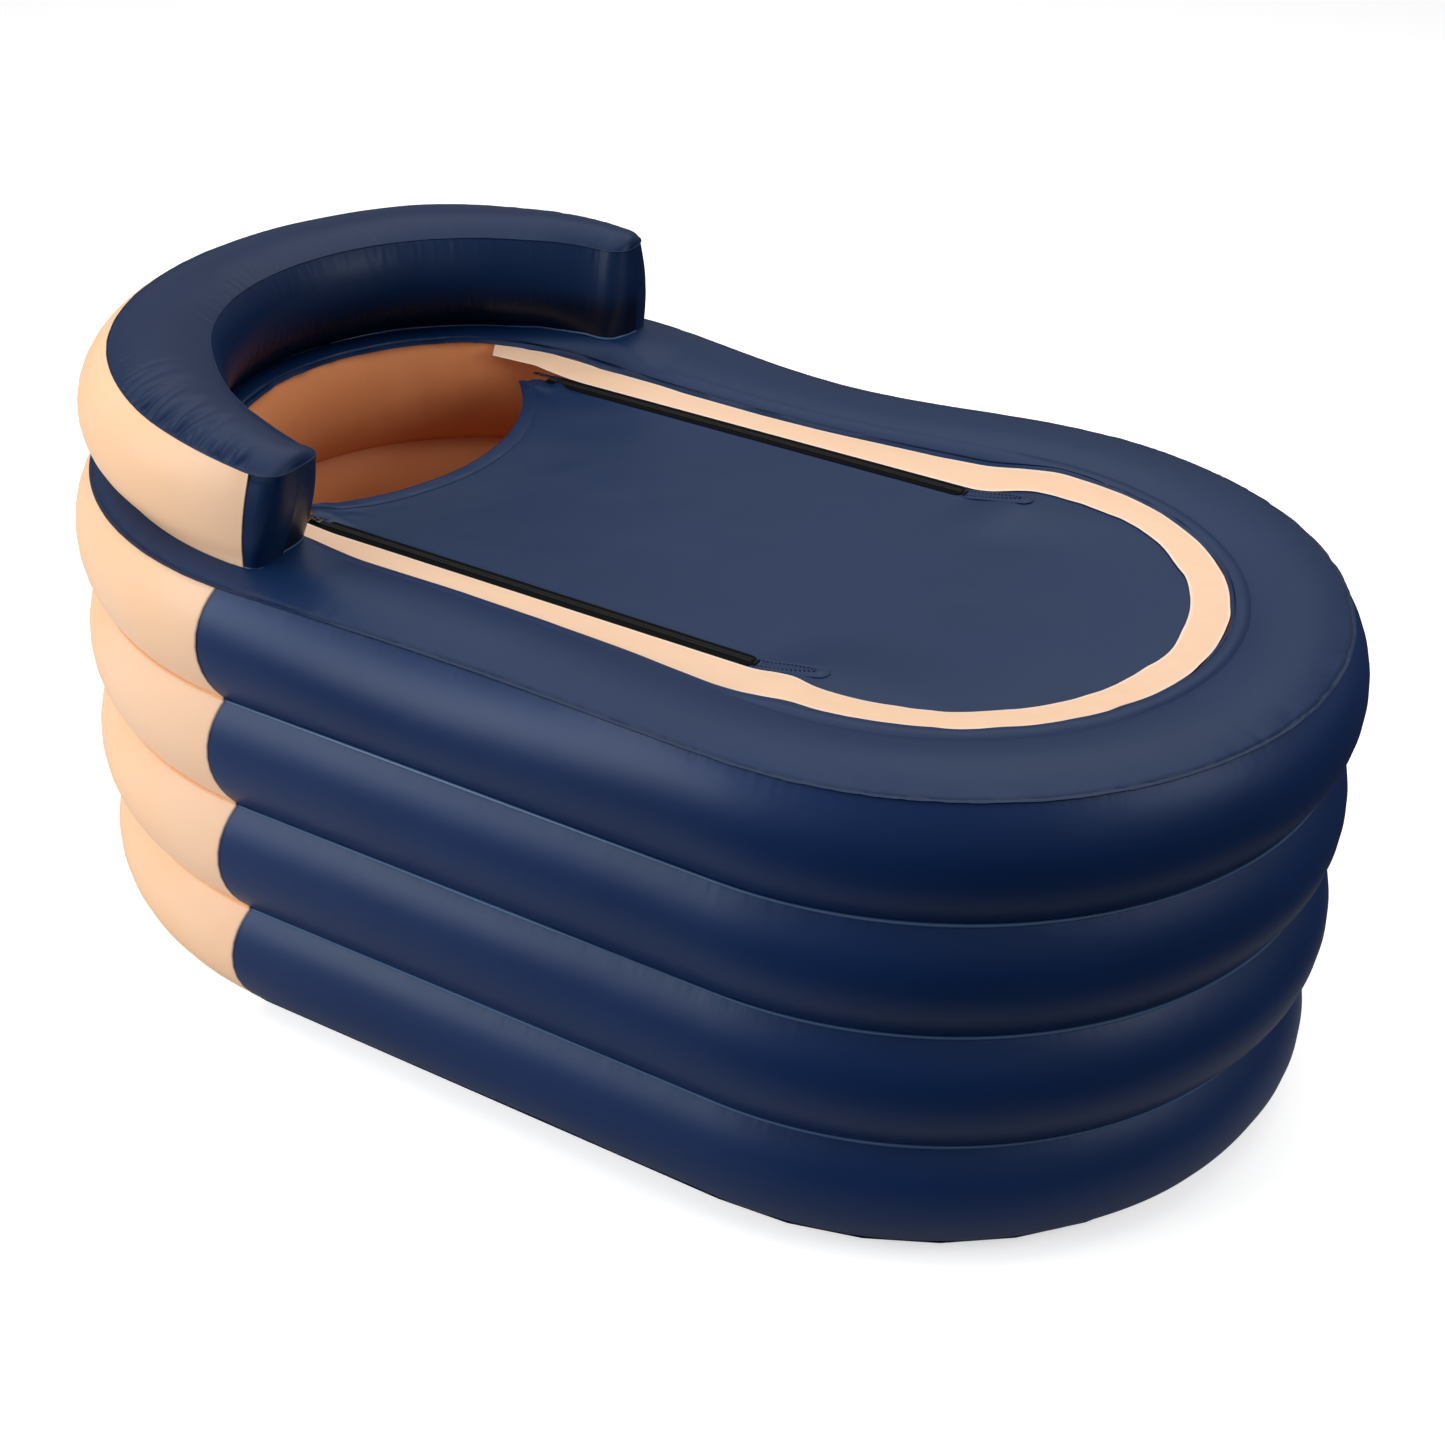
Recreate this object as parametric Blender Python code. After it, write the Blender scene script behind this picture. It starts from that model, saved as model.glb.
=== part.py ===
"""Inflatable bathtub for one person, with a zipped cover and a backrest cushion.

Metres, +Z up. The origin is on the ground under the middle of the tub. +X points to the foot end, the
backrest stands at the head end (-X), and a bather's left hand is at +Y. Four air rings of stadium plan
lie on each other; outside they carry a navy wall round the foot and a peach wall round the head. A rim
panel closes the top ring, a peach band hangs from its inner edge, and a navy cover is zipped to the
band. The front part of the cover unzips on both sides and folds back over the foot end.
"""
import math
from dataclasses import dataclass

import bmesh
import bpy
from mathutils import Matrix, Vector

# Sheets and fits
SKIN = 0.001
GAP = 0.0003
OVERRUN = 0.004

# Plan of the tub: two half circles joined by straight sides
STRAIGHT_HALF = 0.320
HEAD_STEPS = 16
FOOT_STEPS = 16
SIDE_STEPS = 4
WALL_JOIN_TURN = math.radians(1.7)

# Heights of the four air rings, from the ground up
BOTTOM_RING_HEIGHT = 0.1485
LOWER_RING_HEIGHT = 0.1505
UPPER_RING_HEIGHT = 0.1435
TOP_RING_HEIGHT = 0.1430

# Outer radius of the round ends at the seam, and the weld lines' distances from it, from the ground up
SEAM_R = 0.4490
BASE_WELD_IN = 0.0245
LOW_WELD_IN = 0.0080
MID_WELD_IN = 0.0015
HIGH_WELD_OUT = 0.0025

# How far each ring bulges out past its weld lines, from the ground up
BOTTOM_RING_BULGE = 0.0355
LOWER_RING_BULGE = 0.0315
UPPER_RING_BULGE = 0.0265
TOP_RING_BULGE = 0.0265

# How far inside the seam the inner weld lines lie, and the bulge of the inner wall
BASE_INNER_IN = 0.1090
LOW_INNER_IN = 0.1140
MID_INNER_IN = 0.1190
HIGH_INNER_IN = 0.1240
INNER_BULGE = 0.0280
TOP_INNER_BULGE = 0.0220
OUTER_STEPS = 5
INNER_STEPS = 3

# Rim panel on the top ring
SEAM_FLANGE = 0.0045
RIDGE_IN = 0.1240
RIDGE_RISE = 0.0165
RIDGE_SINK = 0.0141
RIDGE_SINK_REACH = 0.160
RIM_CROWN = 0.0085
RIDGE_CROWN = 0.0050
HEAD_EDGE_IN = 0.1650
HEAD_EDGE_RISE = 0.0110
FOOT_EDGE_IN = 0.1425
FOOT_EDGE_DROP = 0.0080
EDGE_FADE_TURN = math.radians(35.0)
RIM_STEPS = 4
RIDGE_STEPS = 2

# The taut cover draws the long sides in and down
WAIST_BACK = 0.350
WAIST_REACH = 0.040
WAIST_IN = 0.0240
WAIST_DROP = 0.0115

# Base and floor
BASE_FLANGE = 0.0040
FLOOR_CUSHION_IN = 0.1510
FLOOR_CUSHION_HEIGHT = 0.0480
FLOOR_WELD_HEIGHT = 0.0220
FLOOR_CHANNELS = 3
FLOOR_CHANNEL_STEPS = 3
FLOOR_SIDE_BULGE = 0.0090

# Backrest cushion on the rim
BACKREST_TURN = math.radians(90.0)
BACKREST_TOE = 0.0010
BACKREST_OUTER_IN = 0.0310
BACKREST_HEIGHT = 0.1320
BACKREST_END_HEIGHT = 0.1130
BACKREST_TOP_OUTER_IN = 0.0330
BACKREST_TOP_INNER_IN = 0.1530
BACKREST_END_INNER_IN = 0.1240
BACKREST_BACK_BULGE = 0.0400
BACKREST_END_BULGE = 0.0050
BACKREST_TOP_CROWN = 0.0180
BACKREST_FRONT_BULGE = 0.0140
BACKREST_FRONT_END_BULGE = 0.0045
BACKREST_FADE_TURN = math.radians(48.0)
BACKREST_NOSE = 0.0150
BACKREST_NOSE_INSET = 0.0130
BACKREST_NOSE_DROP = 0.0040
BACKREST_NOSE_SHARES = ((1.0, 1.0), (0.65, 0.25))
BACK_STEPS = 5
CROWN_STEPS = 4
FRONT_STEPS = 3

# Cover, band and zips
COVER_DROP = 0.0180
FOLD_BACK = 0.0850
ZIP_HEAD_REACH = 0.0450
ZIP_IN = 0.0245
COIL_SPACE = 0.0014
COIL_WIDTH = 0.0033
COIL_HEIGHT = 0.0022
TAPE_WIDTH = 0.0125
FLAP_CORNER_AHEAD = 0.0200
FLAP_CORNER_IN = 0.0305
FLAP_HOLLOW = 0.0840
FLAP_STEPS = 14
HEM_WIDTH = 0.0200
BAND_WIDTH = 0.0395
BAND_HEAD_WIDTH = 0.0260
BAND_HEAD_STEPS = 3
PANEL_LAP = 0.0060
TAB_LENGTH = 0.0850
TAB_WIDTH = 0.0250
TAB_END_STEPS = 6
STOP_LENGTH = 0.0040
STOP_WIDTH = 0.0100

# Zip sliders and pulls
SLIDER_LENGTH = 0.0140
SLIDER_PLATE = 0.0012
SLIDER_MARGIN = 0.0012
SLIDER_INSET = 0.0020
SLIDER_POST_LENGTH = 0.0050
SLIDER_LOWER_REACH = 0.0065
BRIDGE_LENGTH = 0.0062
BRIDGE_WIDTH = 0.0020
BRIDGE_WALL = 0.0009
BRIDGE_WINDOW = 0.0017
PULL_LENGTH = 0.0320
PULL_WIDTH = 0.0080
PULL_THICKNESS = 0.0010
PULL_BAR = 0.0010
PULL_EYE_LENGTH = 0.0052
PULL_EYE_WIDTH = 0.0034
PULL_TIP_CHAMFER = 0.0020

# Colours, as linear red, green and blue
NAVY = (0.022, 0.045, 0.125)
DEEP_NAVY = (0.014, 0.030, 0.085)
PEACH = (0.900, 0.590, 0.360)
PALE_PEACH = (0.930, 0.640, 0.420)
ZIP_BLACK = (0.006, 0.006, 0.008)
DARK_METAL = (0.080, 0.080, 0.085)
VALVE_WHITE = (0.800, 0.810, 0.820)


# Wall valve
WALL_VALVE_LIP_R = 0.0230
WALL_VALVE_LIP = 0.0016
WALL_VALVE_BARREL_R = 0.0180
WALL_VALVE_DEPTH = 0.0180
WALL_VALVE_NECK_R = 0.0150
WALL_VALVE_NECK = 0.0040
WALL_VALVE_BORE_R = 0.0125
WALL_VALVE_RECESS = 0.0010
WALL_VALVE_CAP_WALL = 0.0018
WALL_VALVE_STRAP = 0.0080

# Small valves of the backrest and the floor
SMALL_VALVE_LIP_R = 0.0130
SMALL_VALVE_LIP = 0.0012
SMALL_VALVE_BARREL_R = 0.0080
SMALL_VALVE_DEPTH = 0.0120
SMALL_VALVE_NECK_R = 0.0070
SMALL_VALVE_NECK = 0.0040
SMALL_VALVE_BORE_R = 0.0035
SMALL_VALVE_RECESS = 0.0008
SMALL_VALVE_CAP_WALL = 0.0012
SMALL_VALVE_STRAP = 0.0050

# Drain
DRAIN_LIP_R = 0.0260
DRAIN_LIP = 0.0018
DRAIN_BARREL_R = 0.0210
DRAIN_DEPTH = 0.0220
DRAIN_NECK_R = 0.0180
DRAIN_NECK = 0.0060
DRAIN_BORE_R = 0.0150
DRAIN_RECESS = 0.0010
DRAIN_CAP_WALL = 0.0020
DRAIN_STRAP = 0.0090
ROUND_STEPS = 20
SMALL_ROUND_STEPS = 12
WALL_VALVE_STATION = 4
DRAIN_STATION = 3
BACKREST_VALVE_STATION = 5
FLOOR_VALVE_SHARE = 0.62


@dataclass(frozen=True)
class ValveSizes:
    """Sizes of a round fitting set in an inflated wall."""

    lip_r: float
    lip_thickness: float
    barrel_r: float
    barrel_depth: float
    neck_r: float
    neck_height: float
    bore_r: float
    bore_recess: float
    cap_wall: float
    strap_width: float


WALL_VALVE = ValveSizes(WALL_VALVE_LIP_R, WALL_VALVE_LIP, WALL_VALVE_BARREL_R, WALL_VALVE_DEPTH,
                        WALL_VALVE_NECK_R, WALL_VALVE_NECK, WALL_VALVE_BORE_R, WALL_VALVE_RECESS,
                        WALL_VALVE_CAP_WALL, WALL_VALVE_STRAP)
SMALL_VALVE = ValveSizes(SMALL_VALVE_LIP_R, SMALL_VALVE_LIP, SMALL_VALVE_BARREL_R, SMALL_VALVE_DEPTH,
                         SMALL_VALVE_NECK_R, SMALL_VALVE_NECK, SMALL_VALVE_BORE_R, SMALL_VALVE_RECESS,
                         SMALL_VALVE_CAP_WALL, SMALL_VALVE_STRAP)
DRAIN = ValveSizes(DRAIN_LIP_R, DRAIN_LIP, DRAIN_BARREL_R, DRAIN_DEPTH, DRAIN_NECK_R, DRAIN_NECK,
                   DRAIN_BORE_R, DRAIN_RECESS, DRAIN_CAP_WALL, DRAIN_STRAP)


@dataclass(frozen=True)
class Ring:
    """One air ring between two weld lines; radii are those of the finished tub."""

    name: str
    low_z: float
    high_z: float
    low_r: float
    high_r: float
    bulge: float
    low_inner_r: float
    high_inner_r: float
    inner_bulge: float


@dataclass(frozen=True)
class Station:
    """A place on the plan: a direction from a centre on the tub's long axis."""

    centre: float
    angle: float

    def head_turn(self):
        """Angle past the end of the straight side, towards the head; 0 elsewhere."""
        if self.centre > -STRAIGHT_HALF:
            return 0.0
        return max(0.0, math.pi / 2 - abs(math.pi - self.angle % (2 * math.pi)))

    def place(self, radius, height):
        """Point at a radius and height, drawn in and down where the cover pulls."""
        x = self.centre + radius * math.cos(self.angle)
        share = waist_share(x) * reach_share(radius) * depth_share(height)
        radius -= WAIST_IN * share
        height -= WAIST_DROP * share
        return Vector((self.centre + radius * math.cos(self.angle), radius * math.sin(self.angle), height))


def clamp_share(value):
    """Limit a share to the range 0 to 1."""
    return min(1.0, max(0.0, value))


def waist_share(x):
    """Share of the full waist at a place along the tub."""
    offset = (x - STRAIGHT_HALF + WAIST_BACK) / (STRAIGHT_HALF + WAIST_REACH)
    if abs(offset) >= 1.0:
        return 0.0
    return math.cos(offset * math.pi / 2) ** 2


def reach_share(radius):
    """The waist grows from nothing at the zips to its full value at the outer seam."""
    return clamp_share((radius - ZIP_EDGE_Y) / (SEAM_R - ZIP_EDGE_Y))


def depth_share(height):
    """The waist fades out down the top ring."""
    return clamp_share((height - HIGH_WELD_Z) / (SEAM_Z - HIGH_WELD_Z))


# Heights and edges that follow from the sizes above
BASE_Z = SKIN + GAP
LOW_WELD_Z = BASE_Z + BOTTOM_RING_HEIGHT
MID_WELD_Z = LOW_WELD_Z + LOWER_RING_HEIGHT
HIGH_WELD_Z = MID_WELD_Z + UPPER_RING_HEIGHT
WALL_TOP_Z = HIGH_WELD_Z + TOP_RING_HEIGHT
SEAM_Z = WALL_TOP_Z + GAP + SKIN
RIDGE_Z = SEAM_Z + RIDGE_RISE
BASE_WELD_R = SEAM_R - BASE_WELD_IN
LOW_WELD_R = SEAM_R - LOW_WELD_IN
MID_WELD_R = SEAM_R - MID_WELD_IN
HIGH_WELD_R = SEAM_R + HIGH_WELD_OUT
BASE_INNER_R = SEAM_R - BASE_INNER_IN
LOW_INNER_R = SEAM_R - LOW_INNER_IN
MID_INNER_R = SEAM_R - MID_INNER_IN
HIGH_INNER_R = SEAM_R - HIGH_INNER_IN
RIDGE_R = SEAM_R - RIDGE_IN
HEAD_EDGE_R = SEAM_R - HEAD_EDGE_IN
FOOT_EDGE_R = SEAM_R - FOOT_EDGE_IN
BAND_FOOT_INNER_R = FOOT_EDGE_R - BAND_WIDTH
FLOOR_CUSHION_R = SEAM_R - FLOOR_CUSHION_IN
BACKREST_OUTER_R = SEAM_R - BACKREST_OUTER_IN
BACKREST_TOP_OUTER_R = SEAM_R - BACKREST_TOP_OUTER_IN
BACKREST_TOP_INNER_R = SEAM_R - BACKREST_TOP_INNER_IN
BACKREST_END_INNER_R = SEAM_R - BACKREST_END_INNER_IN
FOLD_X = STRAIGHT_HALF - FOLD_BACK
ZIP_HEAD_X = -STRAIGHT_HALF - ZIP_HEAD_REACH
ZIP_Y = BAND_FOOT_INNER_R - ZIP_IN
FLAP_CORNER_X = ZIP_HEAD_X - FLAP_CORNER_AHEAD
FLAP_CORNER_Y = ZIP_Y - FLAP_CORNER_IN
FLAP_HOLLOW_X = FLAP_CORNER_X + FLAP_HOLLOW
ZIP_EDGE_Y = ZIP_Y + COIL_SPACE / 2 + TAPE_WIDTH
FLAP_EDGE_Y = ZIP_Y - COIL_SPACE / 2 - COIL_WIDTH
COVER_Z = SEAM_Z - COVER_DROP
TRIM_Z = COVER_Z + GAP
COIL_TOP_Z = TRIM_Z + COIL_HEIGHT
BACKREST_INNER_R = RIDGE_R + BACKREST_TOE

RINGS = (
    Ring("ring_bottom", BASE_Z, LOW_WELD_Z, BASE_WELD_R, LOW_WELD_R, BOTTOM_RING_BULGE,
         BASE_INNER_R, LOW_INNER_R, INNER_BULGE),
    Ring("ring_lower", LOW_WELD_Z, MID_WELD_Z, LOW_WELD_R, MID_WELD_R, LOWER_RING_BULGE,
         LOW_INNER_R, MID_INNER_R, INNER_BULGE),
    Ring("ring_upper", MID_WELD_Z, HIGH_WELD_Z, MID_WELD_R, HIGH_WELD_R, UPPER_RING_BULGE,
         MID_INNER_R, HIGH_INNER_R, INNER_BULGE),
    Ring("ring_top", HIGH_WELD_Z, WALL_TOP_Z, HIGH_WELD_R, SEAM_R, TOP_RING_BULGE,
         HIGH_INNER_R, HEAD_EDGE_R, TOP_INNER_BULGE),
)


def clear_scene():
    """Remove the objects that a new file starts with."""
    for item in list(bpy.data.objects):
        bpy.data.objects.remove(item, do_unlink=True)


def finish(name, colour, roughness, metallic=0.0):
    """A Principled material."""
    material = bpy.data.materials.new(name)
    material.use_nodes = True
    shader = material.node_tree.nodes["Principled BSDF"]
    shader.inputs["Base Color"].default_value = (*colour, 1.0)
    shader.inputs["Roughness"].default_value = roughness
    shader.inputs["Metallic"].default_value = metallic
    return material


def vinyl(name, colour):
    """Satin vinyl for one piece."""
    return finish(name + "_vinyl", colour, 0.42)


def add_empty(name, location, parent=None, turn=None):
    """An axis marker that carries moving pieces; turn is a rotation matrix."""
    marker = bpy.data.objects.new(name, None)
    bpy.context.collection.objects.link(marker)
    marker.empty_display_size = SLIDER_LENGTH
    marker.location = location
    if turn is not None:
        marker.rotation_euler = turn.to_euler()
    marker.parent = parent
    return marker


def add_object(name, bm, material=None, parent=None, smooth=True):
    """Make an object from a bmesh whose points are in the parent's frame."""
    bmesh.ops.remove_doubles(bm, verts=bm.verts, dist=GAP / 10)
    bmesh.ops.recalc_face_normals(bm, faces=bm.faces)
    bmesh.ops.triangulate(bm, faces=bm.faces, quad_method="SHORT_EDGE")
    mesh = bpy.data.meshes.new(name)
    bm.to_mesh(mesh)
    bm.free()
    item = bpy.data.objects.new(name, mesh)
    bpy.context.collection.objects.link(item)
    item.parent = parent
    if material is not None:
        mesh.materials.append(material)
    if smooth:
        mesh.shade_smooth()
        mesh.set_sharp_from_angle(angle=math.radians(40.0))
    return item


def add_cutter(name, bm, parent=None):
    """A hidden helper shape for a Boolean."""
    item = add_object(name, bm, parent=parent, smooth=False)
    item.hide_render = True
    item.display_type = "WIRE"
    return item


def boolean(target, tool, operation):
    """Cut or join a target with a helper shape."""
    modifier = target.modifiers.new(tool.name, "BOOLEAN")
    modifier.operation = operation
    modifier.solver = "EXACT"
    modifier.object = tool


def arc(start, end, sagitta, steps):
    """Points of an arc from start to end that bulges to the right of the way."""
    start, end = Vector(start), Vector(end)
    way = end - start
    half = way.length / 2
    out = Vector((way.y, -way.x)).normalized()
    if abs(sagitta) < GAP / 10:
        return [tuple(start.lerp(end, step / steps)) for step in range(steps + 1)]
    radius = (half * half + sagitta * sagitta) / (2 * sagitta)
    centre = (start + end) / 2 + out * (sagitta - radius)
    half_turn = 2 * math.atan2(sagitta, half)
    points = []
    for step in range(steps + 1):
        turn = half_turn * (2 * step / steps - 1)
        points.append(tuple(centre + out * radius * math.cos(turn)
                            + way.normalized() * radius * math.sin(turn)))
    return points


def loft(sections, closed_way, closed_outline=True):
    """Skin a row of sections of equal length; an open way gets flat ends."""
    bm = bmesh.new()
    rows = [[bm.verts.new(point) for point in section] for section in sections]
    count = len(rows[0])
    pairs = list(zip(rows, rows[1:]))
    if closed_way:
        pairs.append((rows[-1], rows[0]))
    for row, following in pairs:
        for index in range(count if closed_outline else count - 1):
            after = (index + 1) % count
            bm.faces.new((row[index], row[after], following[after], following[index]))
    if not closed_way:
        bm.faces.new(rows[0])
        bm.faces.new(reversed(rows[-1]))
    return bm


def plate(outline, low_z, thickness):
    """A flat sheet from its plan outline."""
    bm = bmesh.new()
    face = bm.faces.new([bm.verts.new((x, y, low_z)) for x, y in outline])
    grown = bmesh.ops.extrude_face_region(bm, geom=[face])["geom"]
    risen = [part for part in grown if isinstance(part, bmesh.types.BMVert)]
    bmesh.ops.translate(bm, verts=risen, vec=(0, 0, thickness))
    return bm


def prism_along_x(outline, low_x, high_x):
    """A bar from its outline in Y and Z."""
    bm = bmesh.new()
    face = bm.faces.new([bm.verts.new((low_x, y, z)) for y, z in outline])
    grown = bmesh.ops.extrude_face_region(bm, geom=[face])["geom"]
    moved = [part for part in grown if isinstance(part, bmesh.types.BMVert)]
    bmesh.ops.translate(bm, verts=moved, vec=(high_x - low_x, 0, 0))
    return bm


def block(low, high):
    """A box between two corners."""
    outline = [(low[0], low[1]), (high[0], low[1]), (high[0], high[1]), (low[0], high[1])]
    return plate(outline, low[2], high[2] - low[2])


def turned(profile, steps):
    """A round piece about Z from its radius and height profile."""
    bm = bmesh.new()
    verts = [bm.verts.new((radius, 0, height)) for radius, height in profile]
    edges = [bm.edges.new(pair) for pair in zip(verts, verts[1:])]
    bmesh.ops.spin(bm, geom=verts + edges, cent=(0, 0, 0), axis=(0, 0, 1),
                   angle=2 * math.pi, steps=steps, use_merge=True)
    bmesh.ops.remove_doubles(bm, verts=bm.verts, dist=GAP / 10)
    return bm


def disc(radius, low_z, high_z, steps):
    """A round bar about Z."""
    return turned([(0, low_z), (radius, low_z), (radius, high_z), (0, high_z)], steps)


def head_stations(turn=WALL_JOIN_TURN, steps=HEAD_STEPS):
    """Stations round the head, from the left side to the right."""
    first = math.pi / 2 + turn
    sweep = math.pi - 2 * turn
    return [Station(-STRAIGHT_HALF, first + sweep * step / steps) for step in range(steps + 1)]


def foot_stations():
    """Stations from the right end of the head wall round the foot to its left end."""
    stations = [Station(-STRAIGHT_HALF, 3 * math.pi / 2 - WALL_JOIN_TURN)]
    side = [2 * STRAIGHT_HALF * step / SIDE_STEPS - STRAIGHT_HALF for step in range(SIDE_STEPS)]
    stations += [Station(x, 3 * math.pi / 2) for x in side]
    for step in range(FOOT_STEPS + 1):
        stations.append(Station(STRAIGHT_HALF, math.pi * (step / FOOT_STEPS - 0.5)))
    stations += [Station(x, math.pi / 2) for x in reversed(side)]
    stations.append(Station(-STRAIGHT_HALF, math.pi / 2 + WALL_JOIN_TURN))
    return stations


def all_stations():
    """Stations right round the tub, each place once."""
    return head_stations() + foot_stations()[1:-1]


def edge_pull(station):
    """1 where the band pulls the rim's inner edge down, 0 round the head."""
    return clamp_share(1.0 - station.head_turn() / EDGE_FADE_TURN)


def rim_edge(station):
    """Radius and height of the rim panel's inner edge."""
    pull = edge_pull(station)
    radius = HEAD_EDGE_R + (FOOT_EDGE_R - HEAD_EDGE_R) * pull
    rise = HEAD_EDGE_RISE - (HEAD_EDGE_RISE + FOOT_EDGE_DROP) * pull
    return radius, SEAM_Z + rise


def ridge_height(station):
    """Height of the rim's ridge, which sinks in front of the backrest."""
    return RIDGE_Z - RIDGE_SINK * clamp_share((station.centre + STRAIGHT_HALF) / RIDGE_SINK_REACH)


def rim_outline(station, outer_r, drop):
    """The rim's top from the seam over the crown and the ridge to the inner edge."""
    ridge_z = ridge_height(station) - drop
    top = arc((outer_r, SEAM_Z - drop), (RIDGE_R, ridge_z), RIM_CROWN, RIM_STEPS)
    radius, height = rim_edge(station)
    return top[:-1] + arc((RIDGE_R, ridge_z), (radius, height - drop), RIDGE_CROWN, RIDGE_STEPS)


def ring_outline(ring, station):
    """Outline of an air ring inside its skins, outer side first."""
    inset = SKIN + GAP
    low_z = ring.low_z + GAP / 2
    outline = arc((ring.low_r - inset, low_z), (ring.high_r - inset, ring.high_z - GAP / 2),
                  ring.bulge, OUTER_STEPS)
    if ring.name == "ring_top":
        top = rim_outline(station, ring.high_r - inset, SKIN + GAP)
        outline = outline[:-1] + top[:-1]
        inner_top = top[-1]
    else:
        inner_top = (ring.high_inner_r, ring.high_z - GAP / 2)
    return outline + arc(inner_top, (ring.low_inner_r, low_z), ring.inner_bulge, INNER_STEPS)


def make_rings():
    """The four air rings."""
    made = {}
    for ring in RINGS:
        sections = []
        for station in all_stations():
            sections.append([station.place(*point) for point in ring_outline(ring, station)])
        made[ring.name] = add_object(ring.name, loft(sections, True), vinyl(ring.name, PEACH))
    return made


def wall_line(inset):
    """The outer wall's line up all four rings, drawn in by an inset."""
    line = []
    for ring in RINGS:
        line += arc((ring.low_r - inset, ring.low_z), (ring.high_r - inset, ring.high_z),
                    ring.bulge, OUTER_STEPS)[:-1]
    last = RINGS[-1]
    return line + [(last.high_r - inset, last.high_z)]


def make_wall(name, stations, colour):
    """A corrugated wall skin along some stations."""
    outline = wall_line(0.0) + list(reversed(wall_line(SKIN)))
    sections = [[station.place(*point) for point in outline] for station in stations]
    return add_object(name, loft(sections, False), vinyl(name, colour))


def inset_ends(stations):
    """Draw the two end stations of a wall in by half the gap between walls."""
    turn = GAP / 2 / SEAM_R
    first, last = stations[0], stations[-1]
    return ([Station(first.centre, first.angle + turn)] + stations[1:-1]
            + [Station(last.centre, last.angle - turn)])


def make_rim_panel():
    """The navy panel on the top ring, with the weld flange at its outer seam."""
    sections = []
    for station in all_stations():
        top = [(SEAM_R + SEAM_FLANGE, SEAM_Z)] + rim_outline(station, SEAM_R, 0.0)
        under = [(radius, height - SKIN) for radius, height in reversed(top)]
        sections.append([station.place(*point) for point in top + under])
    return add_object("rim_panel", loft(sections, True), vinyl("rim_panel", NAVY))


def make_base():
    """The sheet that the tub stands on."""
    radius = BASE_WELD_R + BASE_FLANGE
    outline = [station.place(radius, 0.0).xy for station in all_stations()]
    return add_object("base_sheet", plate(outline, 0.0, SKIN), vinyl("base_sheet", DEEP_NAVY))


def make_floor_cushion():
    """The inflated floor, welded in channels that follow the plan."""
    low_z = BASE_Z
    width = FLOOR_CUSHION_R / FLOOR_CHANNELS
    weld_z = low_z + FLOOR_WELD_HEIGHT
    crown = FLOOR_CUSHION_HEIGHT - FLOOR_WELD_HEIGHT
    top = []
    for channel in range(FLOOR_CHANNELS, 0, -1):
        top += arc((channel * width, weld_z), ((channel - 1) * width, weld_z), crown,
                   FLOOR_CHANNEL_STEPS)[:-1]
    side = arc((FLOOR_CUSHION_R, low_z), (FLOOR_CUSHION_R, weld_z), FLOOR_SIDE_BULGE, 2)
    outline = [(0.0, low_z)] + side[:-1] + top + [(0.0, weld_z)]
    sections = [[station.place(*point) for point in outline] for station in all_stations()]
    return add_object("floor_cushion", loft(sections, True, False), vinyl("floor_cushion", PALE_PEACH))


def rim_height(station, radius):
    """Height of the rim's top at a radius; past its edges, that of the edge."""
    line = rim_outline(station, SEAM_R, 0.0)
    for (outer_r, outer_z), (inner_r, inner_z) in zip(line, line[1:]):
        if inner_r <= radius <= outer_r:
            return inner_z + (outer_z - inner_z) * (radius - inner_r) / (outer_r - inner_r)
    return line[0][1] if radius > SEAM_R else line[-1][1]


def backrest_share(angle):
    """1 behind the bather's back, falling to 0 at the cushion's two ends."""
    turn = BACKREST_TURN - abs(math.pi - angle)
    return math.sin(clamp_share(turn / BACKREST_FADE_TURN) * math.pi / 2)


def backrest_back(station, inset, drop=0.0):
    """The cushion's outer wall, base to top seam, drawn in by an inset and lowered by a drop."""
    share = backrest_share(station.angle)
    low_z = rim_height(station, BACKREST_OUTER_R - inset) + 2 * GAP
    high_z = RIDGE_Z + BACKREST_END_HEIGHT + (BACKREST_HEIGHT - BACKREST_END_HEIGHT) * share - drop
    bulge = BACKREST_END_BULGE + (BACKREST_BACK_BULGE - BACKREST_END_BULGE) * share
    return arc((BACKREST_OUTER_R - inset, low_z), (BACKREST_TOP_OUTER_R - inset, high_z), bulge, BACK_STEPS)


def backrest_seat(station, inner_r, outer_r):
    """The cushion's underside, which lies on the rim point by point, from the bather's side outwards."""
    line = []
    for radius, _ in reversed(rim_outline(station, SEAM_R, 0.0)):
        radius = min(outer_r, max(inner_r, radius))
        line.append((radius, rim_height(station, radius) + 2 * GAP))
    return line


def backrest_outline(station, inset=0.0, drop=0.0):
    """Outline of the cushion inside its back skin, drawn in by an inset and lowered by a drop."""
    share = backrest_share(station.angle)
    back = backrest_back(station, SKIN + GAP + inset, drop)
    inner_r = BACKREST_END_INNER_R + (BACKREST_TOP_INNER_R - BACKREST_END_INNER_R) * share + inset
    seat = backrest_seat(station, BACKREST_INNER_R + inset, back[0][0])
    top = arc(back[-1], (inner_r, back[-1][1]), BACKREST_TOP_CROWN, CROWN_STEPS)
    bulge = BACKREST_FRONT_END_BULGE + (BACKREST_FRONT_BULGE - BACKREST_FRONT_END_BULGE) * share
    front = arc(top[-1], seat[0], bulge, FRONT_STEPS)
    return back[:-1] + top[:-1] + front + seat[1:-1]


def backrest_stations():
    """Stations along the cushion, left end to right end, which are the rim's own."""
    left = Station(-STRAIGHT_HALF, math.pi - BACKREST_TURN)
    right = Station(-STRAIGHT_HALF, math.pi + BACKREST_TURN)
    return [left] + head_stations() + [right]


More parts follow.
